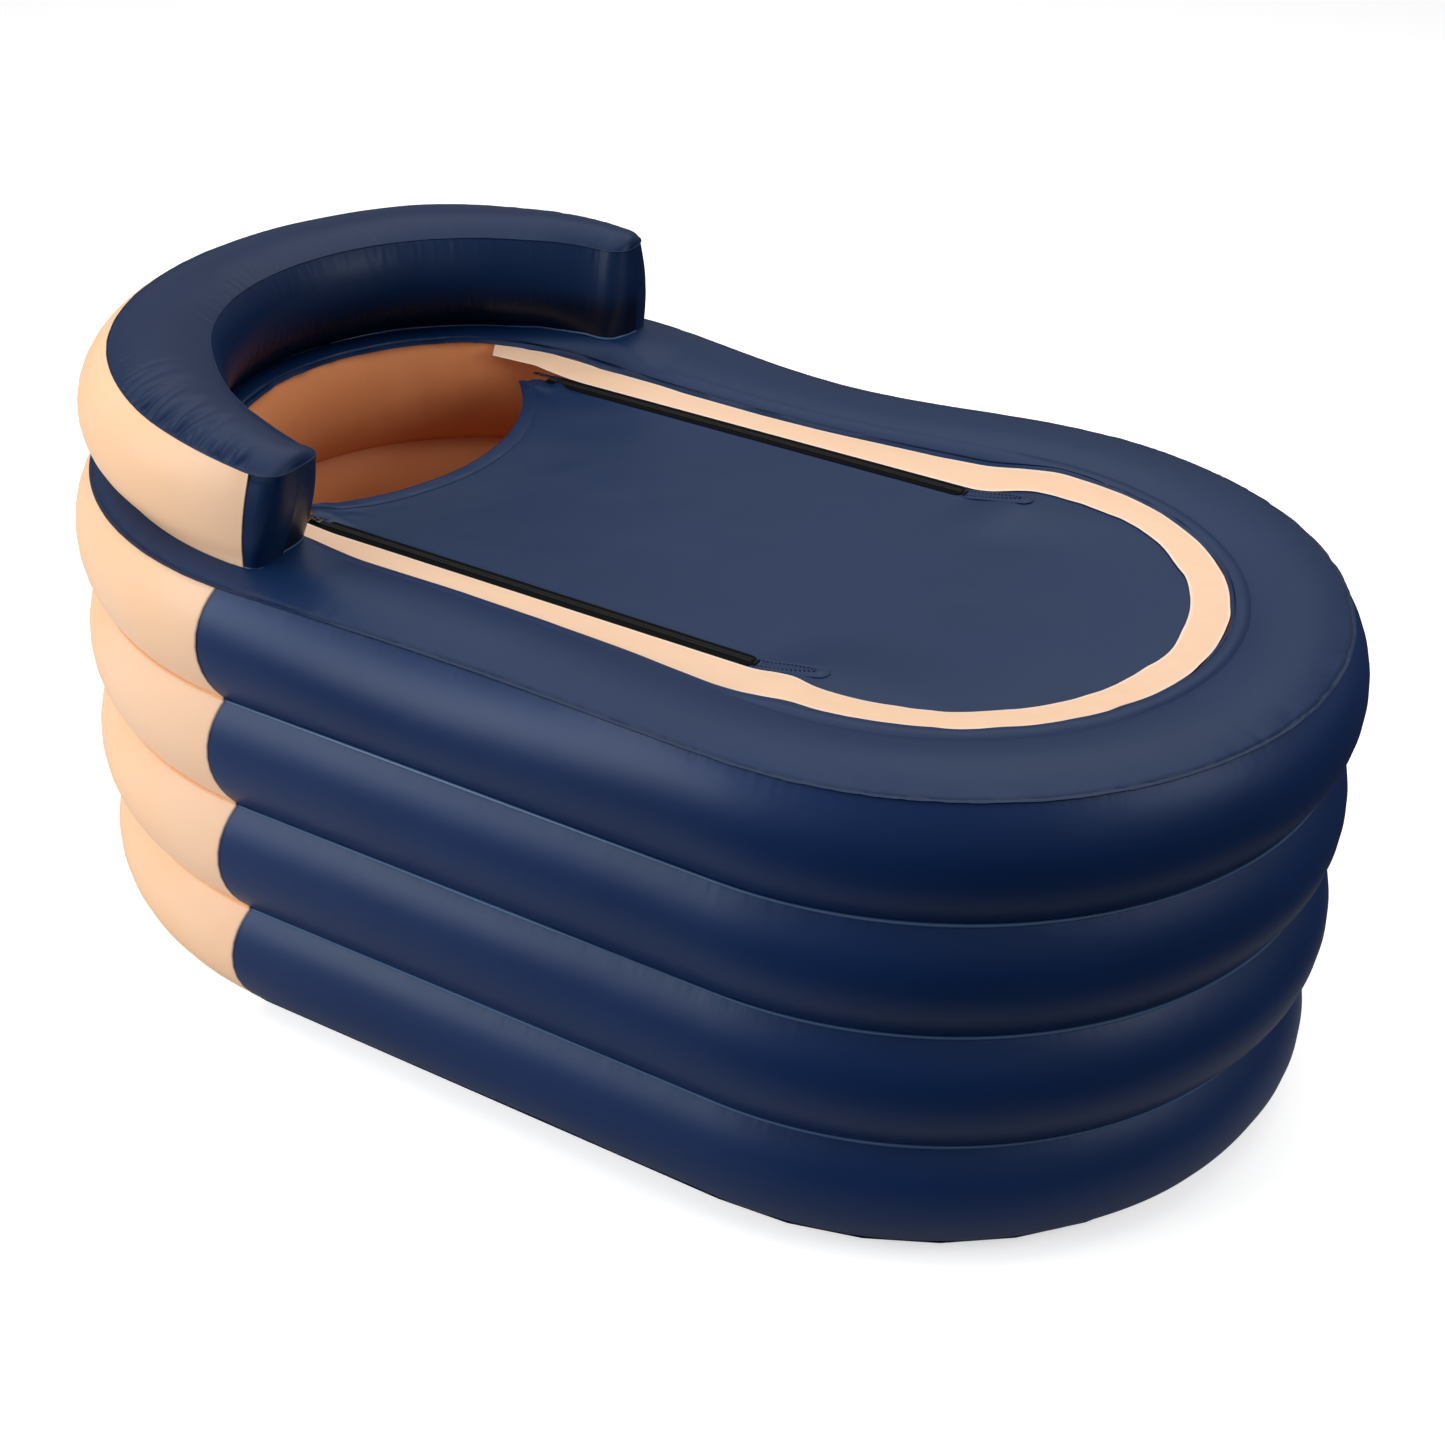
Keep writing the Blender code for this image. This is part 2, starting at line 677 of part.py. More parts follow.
def nose_sections(station):
    """Smaller sections in front that round one end of the cushion, the foremost first."""
    sections = []
    for ahead, inward in BACKREST_NOSE_SHARES:
        outline = backrest_outline(station, BACKREST_NOSE_INSET * inward, BACKREST_NOSE_DROP * inward)
        way = Vector((BACKREST_NOSE * ahead, 0, 0))
        sections.append([station.place(*point) + way for point in outline])
    return sections


def make_backrest():
    """The navy cushion and the peach skin on its back."""
    stations = backrest_stations()
    sections = nose_sections(stations[0])
    for station in stations:
        sections.append([station.place(*point) for point in backrest_outline(station)])
    sections += reversed(nose_sections(stations[-1]))
    cushion = add_object("backrest_cushion", loft(sections, False), vinyl("backrest_cushion", NAVY))
    skins = []
    for station in stations:
        outline = backrest_back(station, 0.0) + backrest_back(station, SKIN)[::-1]
        skins.append([station.place(*point) for point in outline])
    skin = add_object("backrest_back_skin", loft(skins, False), vinyl("backrest_back_skin", PEACH))
    return cushion, skin


def band_stations():
    """Stations along the band: from the head on the right, round the foot, to the head on the left."""
    heads = head_stations()
    return heads[-1 - BAND_HEAD_STEPS:] + foot_stations()[1:-1] + heads[:BAND_HEAD_STEPS + 1]


def band_inner(station):
    """Radius and height of the band's inner edge, which meets the zips and the foot panel."""
    edge_r, edge_z = rim_edge(station)
    along_zip = (ZIP_EDGE_Y + GAP) / abs(math.sin(station.angle)) if station.centre < FOLD_X else None
    if along_zip is None:
        return BAND_FOOT_INNER_R, TRIM_Z + SKIN
    pull = edge_pull(station)
    height = (TRIM_Z + SKIN) * pull + edge_z * (1.0 - pull)
    return min(along_zip, edge_r - BAND_HEAD_WIDTH), height


def make_band():
    """The peach band between the rim and the cover."""
    sections = []
    for station in band_stations():
        outer_r, outer_z = rim_edge(station)
        inner_r, inner_z = band_inner(station)
        outline = [(outer_r - GAP, outer_z), (inner_r, inner_z)]
        outline += [(radius, height - SKIN) for radius, height in reversed(outline)]
        sections.append([station.place(*point) for point in outline])
    return add_object("cover_band", loft(sections, False), vinyl("cover_band", PALE_PEACH))


def hollow_arc(offset):
    """The flap's hollow front edge, or a line behind it, from right to left."""
    sagitta = FLAP_HOLLOW_X - FLAP_CORNER_X
    radius = (FLAP_CORNER_Y ** 2 + sagitta ** 2) / (2 * sagitta)
    centre_x = FLAP_HOLLOW_X - radius
    reach = math.asin(FLAP_CORNER_Y / radius)
    points = []
    for step in range(FLAP_STEPS + 1):
        turn = reach * (2 * step / FLAP_STEPS - 1)
        points.append((centre_x + (radius + offset) * math.cos(turn), (radius + offset) * math.sin(turn)))
    return points


def make_cover(fold_axis):
    """The fixed foot panel, the folding flap and the hem along its front edge."""
    low_z = COVER_Z - SKIN
    panel_r = BAND_FOOT_INNER_R + PANEL_LAP
    corner_turn = math.asin(clamp_share(ZIP_EDGE_Y / panel_r))
    outline = [(FOLD_X + GAP / 2, -ZIP_EDGE_Y)]
    for step in range(FOOT_STEPS + 1):
        turn = corner_turn * (2 * step / FOOT_STEPS - 1)
        outline.append((STRAIGHT_HALF + panel_r * math.cos(turn), panel_r * math.sin(turn)))
    outline.append((FOLD_X + GAP / 2, ZIP_EDGE_Y))
    add_object("cover_foot_panel", plate(outline, low_z, SKIN), vinyl("cover_foot_panel", NAVY))

    edge = hollow_arc(0.0)
    outline = [(FOLD_X - GAP / 2, FLAP_EDGE_Y), (ZIP_HEAD_X, FLAP_EDGE_Y)] + edge[::-1]
    outline += [(ZIP_HEAD_X, -FLAP_EDGE_Y), (FOLD_X - GAP / 2, -FLAP_EDGE_Y)]
    shape = plate(outline, low_z, SKIN)
    bmesh.ops.translate(shape, verts=shape.verts, vec=-fold_axis.location)
    add_object("cover_flap", shape, vinyl("cover_flap", NAVY), fold_axis)

    hem = plate(hollow_arc(HEM_WIDTH) + edge[::-1], TRIM_Z, SKIN)
    bmesh.ops.translate(hem, verts=hem.verts, vec=-fold_axis.location)
    add_object("cover_hem", hem, vinyl("cover_hem", DEEP_NAVY), fold_axis)


def tape_outline(side, way):
    """Section of a zip tape with its coil; way is 1 towards the rim, -1 towards the flap."""
    near = ZIP_Y + way * COIL_SPACE / 2
    coil = near + way * COIL_WIDTH
    far = near + way * TAPE_WIDTH
    steps = [(near, TRIM_Z), (far, TRIM_Z), (far, TRIM_Z + SKIN), (coil, TRIM_Z + SKIN),
             (coil, COIL_TOP_Z), (near, COIL_TOP_Z)]
    return [(side * y, z) for y, z in steps]


def make_zip(label, side, fold_axis):
    """The tapes, the foot stop and the end tab of one zip."""
    black = finish("zip_%s_tape" % label, ZIP_BLACK, 0.6)
    rim = prism_along_x(tape_outline(side, 1), ZIP_HEAD_X, FOLD_X)
    add_object("zip_rim_tape_" + label, rim, black, smooth=False)
    flap = prism_along_x(tape_outline(side, -1), ZIP_HEAD_X, FOLD_X - GAP / 2)
    bmesh.ops.translate(flap, verts=flap.verts, vec=-fold_axis.location)
    add_object("zip_flap_tape_" + label, flap, black, fold_axis, smooth=False)

    stop_x = FOLD_X + GAP
    centre_y = side * ZIP_Y
    stop = block((stop_x, centre_y - STOP_WIDTH / 2, TRIM_Z),
                 (stop_x + STOP_LENGTH, centre_y + STOP_WIDTH / 2, COIL_TOP_Z))
    metal = finish("zip_%s_stop" % label, DARK_METAL, 0.35, 0.9)
    add_object("zip_stop_" + label, stop, metal, smooth=False)

    tab_x = stop_x + STOP_LENGTH + GAP
    half = TAB_WIDTH / 2
    outline = [(tab_x, centre_y + half), (tab_x, centre_y - half)]
    for step in range(TAB_END_STEPS + 1):
        turn = math.pi * (step / TAB_END_STEPS - 0.5)
        outline.append((tab_x + TAB_LENGTH - half + half * math.cos(turn),
                        centre_y + half * math.sin(turn)))
    tab = plate(outline, TRIM_Z, SKIN)
    add_object("zip_end_tab_" + label, tab, vinyl("zip_end_tab_" + label, DEEP_NAVY))


def slider_sizes():
    """Heights of the slider's plates and of the pull's axis."""
    top_low = COIL_TOP_Z + GAP
    top_high = top_low + SLIDER_PLATE
    under_high = COVER_Z - SKIN - GAP
    return top_low, top_high, under_high, top_high + BRIDGE_WINDOW / 2


def make_bridge(centre_x, y, top_high):
    """The arch that holds the pull."""
    half = BRIDGE_LENGTH / 2
    inner = half - BRIDGE_WALL
    roof = top_high + BRIDGE_WINDOW
    foot = top_high - GAP
    outline = [(-half, foot), (-inner, foot), (-inner, roof), (inner, roof), (inner, foot), (half, foot),
               (half, roof + BRIDGE_WALL), (-half, roof + BRIDGE_WALL)]
    bm = bmesh.new()
    low_y = y - BRIDGE_WIDTH / 2
    face = bm.faces.new([bm.verts.new((centre_x + x, low_y, z)) for x, z in outline])
    grown = bmesh.ops.extrude_face_region(bm, geom=[face])["geom"]
    moved = [part for part in grown if isinstance(part, bmesh.types.BMVert)]
    bmesh.ops.translate(bm, verts=moved, vec=(0, BRIDGE_WIDTH, 0))
    return bm


def make_slider(label, side, fold_axis):
    """A slider on the flap's side of one zip, and its pull."""
    top_low, top_high, under_high, axis_z = slider_sizes()
    y = side * ZIP_Y
    low_x = ZIP_HEAD_X + SLIDER_INSET
    high_x = low_x + SLIDER_LENGTH
    centre_x = (low_x + high_x) / 2
    half = COIL_SPACE / 2 + COIL_WIDTH + SLIDER_MARGIN
    post = COIL_SPACE / 2 - GAP
    metal = finish("zip_%s_slider" % label, DARK_METAL, 0.35, 0.9)
    way = add_empty("slider_way_" + label, Vector((centre_x, y, top_low)) - fold_axis.location, fold_axis)
    home = Vector((centre_x, y, top_low))

    def local(bm):
        bmesh.ops.translate(bm, verts=bm.verts, vec=-home)
        return bm

    slider = add_object("zip_slider_" + label,
                        local(block((low_x, y - half, top_low), (high_x, y + half, top_high))),
                        metal, way, smooth=False)
    under_low = under_high - SLIDER_PLATE
    post_high_x = low_x + SLIDER_POST_LENGTH
    shaft = block((low_x, y - post, under_low), (post_high_x, y + post, top_low + SLIDER_PLATE / 2))
    inner_y = y - side * SLIDER_LOWER_REACH
    outer_y = y + side * post
    foot = block((low_x, min(inner_y, outer_y), under_low), (high_x, max(inner_y, outer_y), under_high))
    for name, shape in (("post", shaft), ("foot", foot), ("bridge", make_bridge(centre_x, y, top_high))):
        tool = add_cutter("slider_%s_%s" % (name, label), local(shape), way)
        boolean(slider, tool, "UNION")

    axis = add_empty("pull_axis_" + label, Vector((centre_x, y, axis_z)) - home, way)
    low, high = -PULL_THICKNESS / 2, PULL_THICKNESS / 2
    tail, bar = -PULL_LENGTH, PULL_BAR / 2
    wide, tip = PULL_WIDTH / 2, PULL_WIDTH / 2 - PULL_TIP_CHAMFER
    outline = [(bar, -tip), (bar, tip), (bar - PULL_TIP_CHAMFER, wide), (tail + PULL_TIP_CHAMFER, wide),
               (tail, tip), (tail, -tip), (tail + PULL_TIP_CHAMFER, -wide), (bar - PULL_TIP_CHAMFER, -wide)]
    pull = add_object("zip_pull_" + label, plate(outline, low, high), metal, axis, smooth=False)
    eye = block((-bar - PULL_EYE_LENGTH, -PULL_EYE_WIDTH / 2, low - OVERRUN),
                (-bar, PULL_EYE_WIDTH / 2, high + OVERRUN))
    boolean(pull, add_cutter("pull_eye_" + label, eye, axis), "DIFFERENCE")


def valve_frame(point, outward):
    """Rotation whose Z leaves the wall and whose Y points up."""
    out = Vector(outward).normalized()
    up = Vector((0, 0, 1)) if abs(out.z) < 0.5 else Vector((-1, 0, 0))
    across = up.cross(out).normalized()
    return Matrix((across, out.cross(across), out)).transposed()


def make_valve(name, sizes, point, outward, hosts, colour, steps):
    """A round fitting with its insert and its strapped cap, let into the host pieces."""
    frame = add_empty(name + "_frame", point, turn=valve_frame(point, outward))
    lip_low = GAP
    lip_high = lip_low + sizes.lip_thickness
    neck_top = lip_high + sizes.neck_height
    body = turned([(sizes.bore_r, -sizes.barrel_depth), (sizes.barrel_r, -sizes.barrel_depth),
                   (sizes.barrel_r, lip_low), (sizes.lip_r, lip_low), (sizes.lip_r, lip_high),
                   (sizes.neck_r, lip_high), (sizes.neck_r, neck_top), (sizes.bore_r, neck_top),
                   (sizes.bore_r, -sizes.barrel_depth)], steps)
    white = finish(name + "_body", colour, 0.35)
    add_object(name + "_body", body, white, frame)
    insert = disc(sizes.bore_r - GAP, -sizes.barrel_depth, neck_top - sizes.bore_recess, steps)
    add_object(name + "_insert", insert, finish(name + "_insert", colour, 0.5), frame)

    hinge_y = sizes.lip_r
    hinge_z = lip_high + GAP + sizes.cap_wall / 2
    axis = add_empty(name + "_cap_axis", (0, hinge_y, hinge_z), frame)
    skirt_r = sizes.neck_r + GAP
    rim_r = skirt_r + sizes.cap_wall
    cap_low = lip_high + GAP
    roof = neck_top + GAP
    cap = turned([(0, roof), (skirt_r, roof), (skirt_r, cap_low), (rim_r, cap_low),
                  (rim_r, roof + sizes.cap_wall), (0, roof + sizes.cap_wall)], steps)
    bmesh.ops.translate(cap, verts=cap.verts, vec=(0, -hinge_y, -hinge_z))
    cap_object = add_object(name + "_cap", cap, finish(name + "_cap", colour, 0.4), axis)
    half = sizes.strap_width / 2
    strap = block((-half, rim_r - sizes.cap_wall / 2, cap_low), (half, hinge_y, cap_low + sizes.cap_wall))
    bmesh.ops.translate(strap, verts=strap.verts, vec=(0, -hinge_y, -hinge_z))
    boolean(cap_object, add_cutter(name + "_strap", strap, axis), "UNION")

    pocket = disc(sizes.barrel_r + GAP, -sizes.barrel_depth - GAP, OVERRUN, steps)
    tool = add_cutter(name + "_pocket", pocket, frame)
    for host in hosts:
        boolean(host, tool, "DIFFERENCE")


def facet_place(line, before, after):
    """The middle of a line's widest flat between two stations, and its outward direction."""
    reach = max(radius for radius, _ in line)
    heights = [height for radius, height in line if reach - radius < GAP]
    low = before.place(reach, (min(heights) + max(heights)) / 2)
    high = after.place(reach, (min(heights) + max(heights)) / 2)
    turn = (before.angle + after.angle) / 2
    return (low + high) / 2, (math.cos(turn), math.sin(turn), 0.0)


def ring_place(ring, before, after):
    """A place on the head wall, on the widest flat of a ring."""
    line = arc((ring.low_r, ring.low_z), (ring.high_r, ring.high_z), ring.bulge, OUTER_STEPS)
    return facet_place(line, before, after)


def build():
    """Make every piece of the tub."""
    clear_scene()
    make_base()
    floor_cushion = make_floor_cushion()
    rings = make_rings()
    head_wall = make_wall("outer_wall_head", head_stations(), PEACH)
    make_wall("outer_wall_foot", inset_ends(foot_stations()), NAVY)
    make_rim_panel()
    backrest, back_skin = make_backrest()
    make_band()
    fold_axis = add_empty("cover_fold_axis", Vector((FOLD_X, 0, COIL_TOP_Z)))
    make_cover(fold_axis)
    for label, side in (("left", 1), ("right", -1)):
        make_zip(label, side, fold_axis)
        make_slider(label, side, fold_axis)

    heads = head_stations()
    place = ring_place(RINGS[2], *heads[WALL_VALVE_STATION:WALL_VALVE_STATION + 2])
    make_valve("wall_valve", WALL_VALVE, *place, (rings["ring_upper"], head_wall), VALVE_WHITE, ROUND_STEPS)
    place = ring_place(RINGS[0], *heads[DRAIN_STATION:DRAIN_STATION + 2])
    make_valve("drain", DRAIN, *place, (rings["ring_bottom"], head_wall), VALVE_WHITE, ROUND_STEPS)
    before, after = heads[BACKREST_VALVE_STATION:BACKREST_VALVE_STATION + 2]
    place = facet_place(backrest_back(before, 0.0), before, after)
    make_valve("backrest_valve", SMALL_VALVE, *place, (backrest, back_skin), VALVE_WHITE, SMALL_ROUND_STEPS)
    width = FLOOR_CUSHION_R / FLOOR_CHANNELS
    top = BASE_Z + FLOOR_CUSHION_HEIGHT
    make_valve("floor_valve", SMALL_VALVE, (STRAIGHT_HALF * FLOOR_VALVE_SHARE, width / 2, top), (0, 0, 1),
               (floor_cushion,), VALVE_WHITE, SMALL_ROUND_STEPS)


build()
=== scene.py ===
"""Visual model of an inflatable bathtub with a zipped cover and a backrest cushion.

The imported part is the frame: metres, +Z up, the origin on the ground under the middle of the tub, +X to
the foot end. Each air-filled or hung piece starts as a closed section that the spin and extrude operators
sweep into a tube. The tube is laid round the tub's plan, and its welds, puckers and creases are worked in.
"""
import logging
import math
from dataclasses import dataclass
from enum import Enum
from typing import Optional, Sequence

import bpy
import numpy as np
from mathutils import Matrix, Vector

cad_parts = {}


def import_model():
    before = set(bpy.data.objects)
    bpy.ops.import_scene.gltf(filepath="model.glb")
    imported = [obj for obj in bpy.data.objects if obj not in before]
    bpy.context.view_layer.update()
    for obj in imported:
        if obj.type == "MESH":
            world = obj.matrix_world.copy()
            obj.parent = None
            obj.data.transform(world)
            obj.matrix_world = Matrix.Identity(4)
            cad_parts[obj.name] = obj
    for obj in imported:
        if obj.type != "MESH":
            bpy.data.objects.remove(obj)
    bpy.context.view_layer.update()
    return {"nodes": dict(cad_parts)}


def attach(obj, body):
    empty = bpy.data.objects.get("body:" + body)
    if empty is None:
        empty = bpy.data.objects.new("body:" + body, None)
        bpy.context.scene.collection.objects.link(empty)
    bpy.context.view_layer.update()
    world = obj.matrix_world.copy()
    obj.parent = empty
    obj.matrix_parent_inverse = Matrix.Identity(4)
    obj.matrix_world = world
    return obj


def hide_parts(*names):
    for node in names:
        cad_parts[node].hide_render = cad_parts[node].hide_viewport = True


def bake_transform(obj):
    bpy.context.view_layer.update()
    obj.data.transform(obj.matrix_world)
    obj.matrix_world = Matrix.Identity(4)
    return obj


LOG = logging.getLogger("bathtub")
Colour = tuple[float, float, float]
Array = np.ndarray

SKIN = 0.001
GAP = 0.0003
TINY = 1e-9
MERGE = 1e-6
WIDE_MERGE = 1e-5


class Body(str, Enum):
    """The bodies that pieces ride on."""

    TUB = "tub"
    COVER = "cover"


class Coat(str, Enum):
    """Names of the tub's materials; the walls use two of them to tell the navy wall from the peach one."""

    NAVY = "navy_vinyl"
    DEEP_NAVY = "deep_navy_vinyl"
    PEACH = "peach_vinyl"
    PALE_PEACH = "pale_peach_vinyl"
    ZIP_BLACK = "zip_black"
    ZIP_METAL = "zip_metal"
    VALVE_WHITE = "valve_white"


class Bench:
    """The modelling operators, used on one piece at a time."""

    @staticmethod
    def clear() -> None:
        """Leave edit mode and deselect everything."""
        if bpy.context.object is not None and bpy.context.object.mode != "OBJECT":
            bpy.ops.object.mode_set(mode="OBJECT")
        bpy.ops.object.select_all(action="DESELECT")

    @staticmethod
    def hold(piece: bpy.types.Object) -> None:
        """Make one piece the only one selected."""
        Bench.clear()
        piece.select_set(True)
        bpy.context.view_layer.objects.active = piece

    @staticmethod
    def take(name: str) -> bpy.types.Object:
        """Name the piece that an operator has just added."""
        piece = bpy.context.object
        piece.name = name
        piece.data.name = name
        return piece

    @staticmethod
    def edit(piece: bpy.types.Object, kind: str, chosen: Optional[Array] = None) -> None:
        """Enter edit mode with all or some of a mesh's parts selected.

        Args:
            piece: The piece to edit.
            kind: VERT, EDGE or FACE.
            chosen: True for each part of that kind to select; all parts when left out.
        """
        Bench.hold(piece)
        bpy.ops.object.mode_set(mode="EDIT")
        bpy.ops.mesh.select_mode(type=kind)
        bpy.ops.mesh.select_all(action="SELECT" if chosen is None else "DESELECT")
        if chosen is not None:
            bpy.ops.object.mode_set(mode="OBJECT")
            parts = {"VERT": piece.data.vertices, "EDGE": piece.data.edges, "FACE": piece.data.polygons}[kind]
            parts.foreach_set("select", chosen)
            bpy.ops.object.mode_set(mode="EDIT")

    @staticmethod
    def done() -> None:
        """Leave edit mode."""
        bpy.ops.object.mode_set(mode="OBJECT")

    @staticmethod
    def modify(piece: bpy.types.Object, kind: str, **settings: object) -> None:
        """Add a modifier with its settings and apply it.

        Args:
            piece: The piece to change.
            kind: The modifier's type.
            settings: Values of its settings.
        """
        Bench.hold(piece)
        bpy.ops.object.modifier_add(type=kind)
        modifier = piece.modifiers[-1]
        for name, value in settings.items():
            setattr(modifier, name, value)
        bpy.ops.object.modifier_apply(modifier=modifier.name)

    @staticmethod
    def close(piece: bpy.types.Object, merge: float = MERGE) -> None:
        """Merge doubled points and turn the faces outwards."""
        Bench.edit(piece, "VERT")
        bpy.ops.mesh.remove_doubles(threshold=merge)
        bpy.ops.mesh.normals_make_consistent(inside=False)
        Bench.done()

    @staticmethod
    def smooth(piece: bpy.types.Object, degrees: float = 35.0) -> None:
        """Shade a piece smooth, with edges sharper than an angle kept."""
        Bench.hold(piece)
        bpy.ops.object.shade_smooth_by_angle(angle=math.radians(degrees))

    @staticmethod
    def settle(piece: bpy.types.Object) -> None:
        """Put a piece's place into its mesh."""
        Bench.hold(piece)
        bpy.ops.object.transform_apply(location=True, rotation=True, scale=True)

    @staticmethod
    def points(piece: bpy.types.Object) -> Array:
        """Where a piece's points are, one row each."""
        found = np.zeros(len(piece.data.vertices) * 3)
        piece.data.vertices.foreach_get("co", found)
        return found.reshape(-1, 3)

    @staticmethod
    def put(piece: bpy.types.Object, points: Array) -> None:
        """Move a piece's points to new places."""
        piece.data.vertices.foreach_set("co", points.ravel())
        piece.data.update()

    @staticmethod
    def film_map(piece: bpy.types.Object) -> tuple[bpy.types.MeshUVLoopLayer, Array]:
        """A piece's UV map named film, and the point at each of its faces' corners."""
        mesh = piece.data
        layer = mesh.uv_layers.active or mesh.uv_layers.new(name="film")
        layer.name = "film"
        corners = np.zeros(len(mesh.loops), int)
        mesh.loops.foreach_get("vertex_index", corners)
        return layer, corners

    @staticmethod
    def block(name: str, size: Sequence[float], middle: Sequence[float]) -> bpy.types.Object:
        """Make a box.

        Args:
            name: Name of the piece.
            size: Its length along each axis.
            middle: Where its middle is.

        Returns:
            The piece.
        """
        Bench.clear()
        bpy.ops.mesh.primitive_cube_add(size=1.0)
        piece = Bench.take(name)
        Bench.edit(piece, "VERT")
        bpy.ops.transform.resize(value=size)
        bpy.ops.transform.translate(value=middle)
        Bench.done()
        return piece

    @staticmethod
    def join(name: str, pieces: Sequence[bpy.types.Object]) -> bpy.types.Object:
        """Join pieces into one.

        Args:
            name: Name of the joined piece.
            pieces: The pieces, the first of which takes the others in.

        Returns:
            The joined piece.
        """
        Bench.hold(pieces[0])
        for piece in pieces:
            piece.select_set(True)
        bpy.ops.object.join()
        return Bench.take(name)


@dataclass(frozen=True)
class Plan:
    """The tub's plan: two half circles joined by straight sides, drawn in where the cover pulls."""

    straight_half: float = 0.320
    seam_r: float = 0.4490
    seam_z: float = 0.5881
    high_weld_z: float = 0.4438
    waist_x: float = -0.030
    waist_half_length: float = 0.360
    waist_in: float = 0.0240
    waist_drop: float = 0.0115
    zip_edge_y: float = 0.2557

    @property
    def quarter(self) -> float:
        """Length of a quarter turn of the outer seam."""
        return self.seam_r * math.pi / 2

    @property
    def period(self) -> float:
        """Length of the way right round the tub."""
        return 4 * self.quarter + 4 * self.straight_half

    def loop(self) -> "Course":
        """The way right round, from the head's middle past the right side, foot and left side."""
        half, turn = self.straight_half, math.pi / 2
        keys = [(-half, -2 * turn), (-half, -turn), (half, -turn), (half, turn), (-half, turn),
                (-half, 2 * turn)]
        return Course(self, keys, True)

    def round_foot(self, extra: float) -> "Course":
        """The way round the foot, which ends a little past the straight sides."""
        half, turn = self.straight_half, math.pi / 2
        keys = [(-half, -turn - extra), (-half, -turn), (half, -turn), (half, turn), (-half, turn),
                (-half, turn + extra)]
        return Course(self, keys, False)

    def round_head(self, inset: float) -> "Course":
        """The way round the head, from its left end to its right."""
        keys = [(-self.straight_half, math.pi / 2 + inset), (-self.straight_half, 3 * math.pi / 2 - inset)]
        return Course(self, keys, False)

    def place(self, centre: Array, angle: Array, radius: Array, height: Array) -> Array:
        """Points from places on the plan, radii and heights, with the waist worked in.

        Args:
            centre: Centres on the long axis.
            angle: Directions from the centres.
            radius: Distances from the centres.
            height: Heights over the ground.

        Returns:
            Points, with X, Y and Z along the last axis.
        """
        across = (centre + radius * np.cos(angle) - self.waist_x) / self.waist_half_length
        waist = np.where(np.abs(across) < 1.0, np.cos(np.clip(across, -1, 1) * np.pi / 2) ** 2, 0.0)
        reach = np.clip((radius - self.zip_edge_y) / (self.seam_r - self.zip_edge_y), 0.0, 1.0)
        depth = np.clip((height - self.high_weld_z) / (self.seam_z - self.high_weld_z), 0.0, 1.0)
        share = waist * reach * depth
        drawn = radius - self.waist_in * share
        return np.stack([centre + drawn * np.cos(angle), drawn * np.sin(angle),
                         height - self.waist_drop * share], axis=-1)

    def way(self, centre: Array, angle: Array) -> Array:
        """Length along the outer seam from the foot's middle, negative on the right side.

        Args:
            centre: Centres on the long axis.
            angle: Directions from the centres.

        Returns:
            Lengths in metres, between plus and minus half the way round.
        """
        turned = half_turn(np.asarray(angle))
        return np.sign(turned) * (np.abs(turned) * self.seam_r + (self.straight_half - np.asarray(centre)))

    def head_turn(self, centre: Array, angle: Array) -> Array:
        """Angle past the straight side towards the head; 0 elsewhere."""
        turned = np.abs(half_turn(angle))
        return np.where(centre > -self.straight_half + TINY, 0.0, np.maximum(0.0, turned - np.pi / 2))


@dataclass(frozen=True)
class Course:
    """A way along the plan through key places, each a centre and an angle."""

    plan: Plan
    keys: list[tuple[float, float]]
    closed: bool

    def spread(self, columns: int) -> tuple[Array, Array, Array]:
        """Even places along the way.

        Args:
            columns: How many steps the way has.

        Returns:
            Centres, angles and lengths from the start, one for each column of a tube.
        """
        centres = np.array([key[0] for key in self.keys])
        angles = np.array([key[1] for key in self.keys])
        steps = np.abs(np.diff(centres)) + np.abs(np.diff(angles)) * self.plan.seam_r
        length = np.concatenate([[0.0], np.cumsum(steps)])
        at = np.linspace(0.0, length[-1], columns + 1)
        at = at[:-1] if self.closed else at
        return np.interp(at, length, centres), np.interp(at, length, angles), at


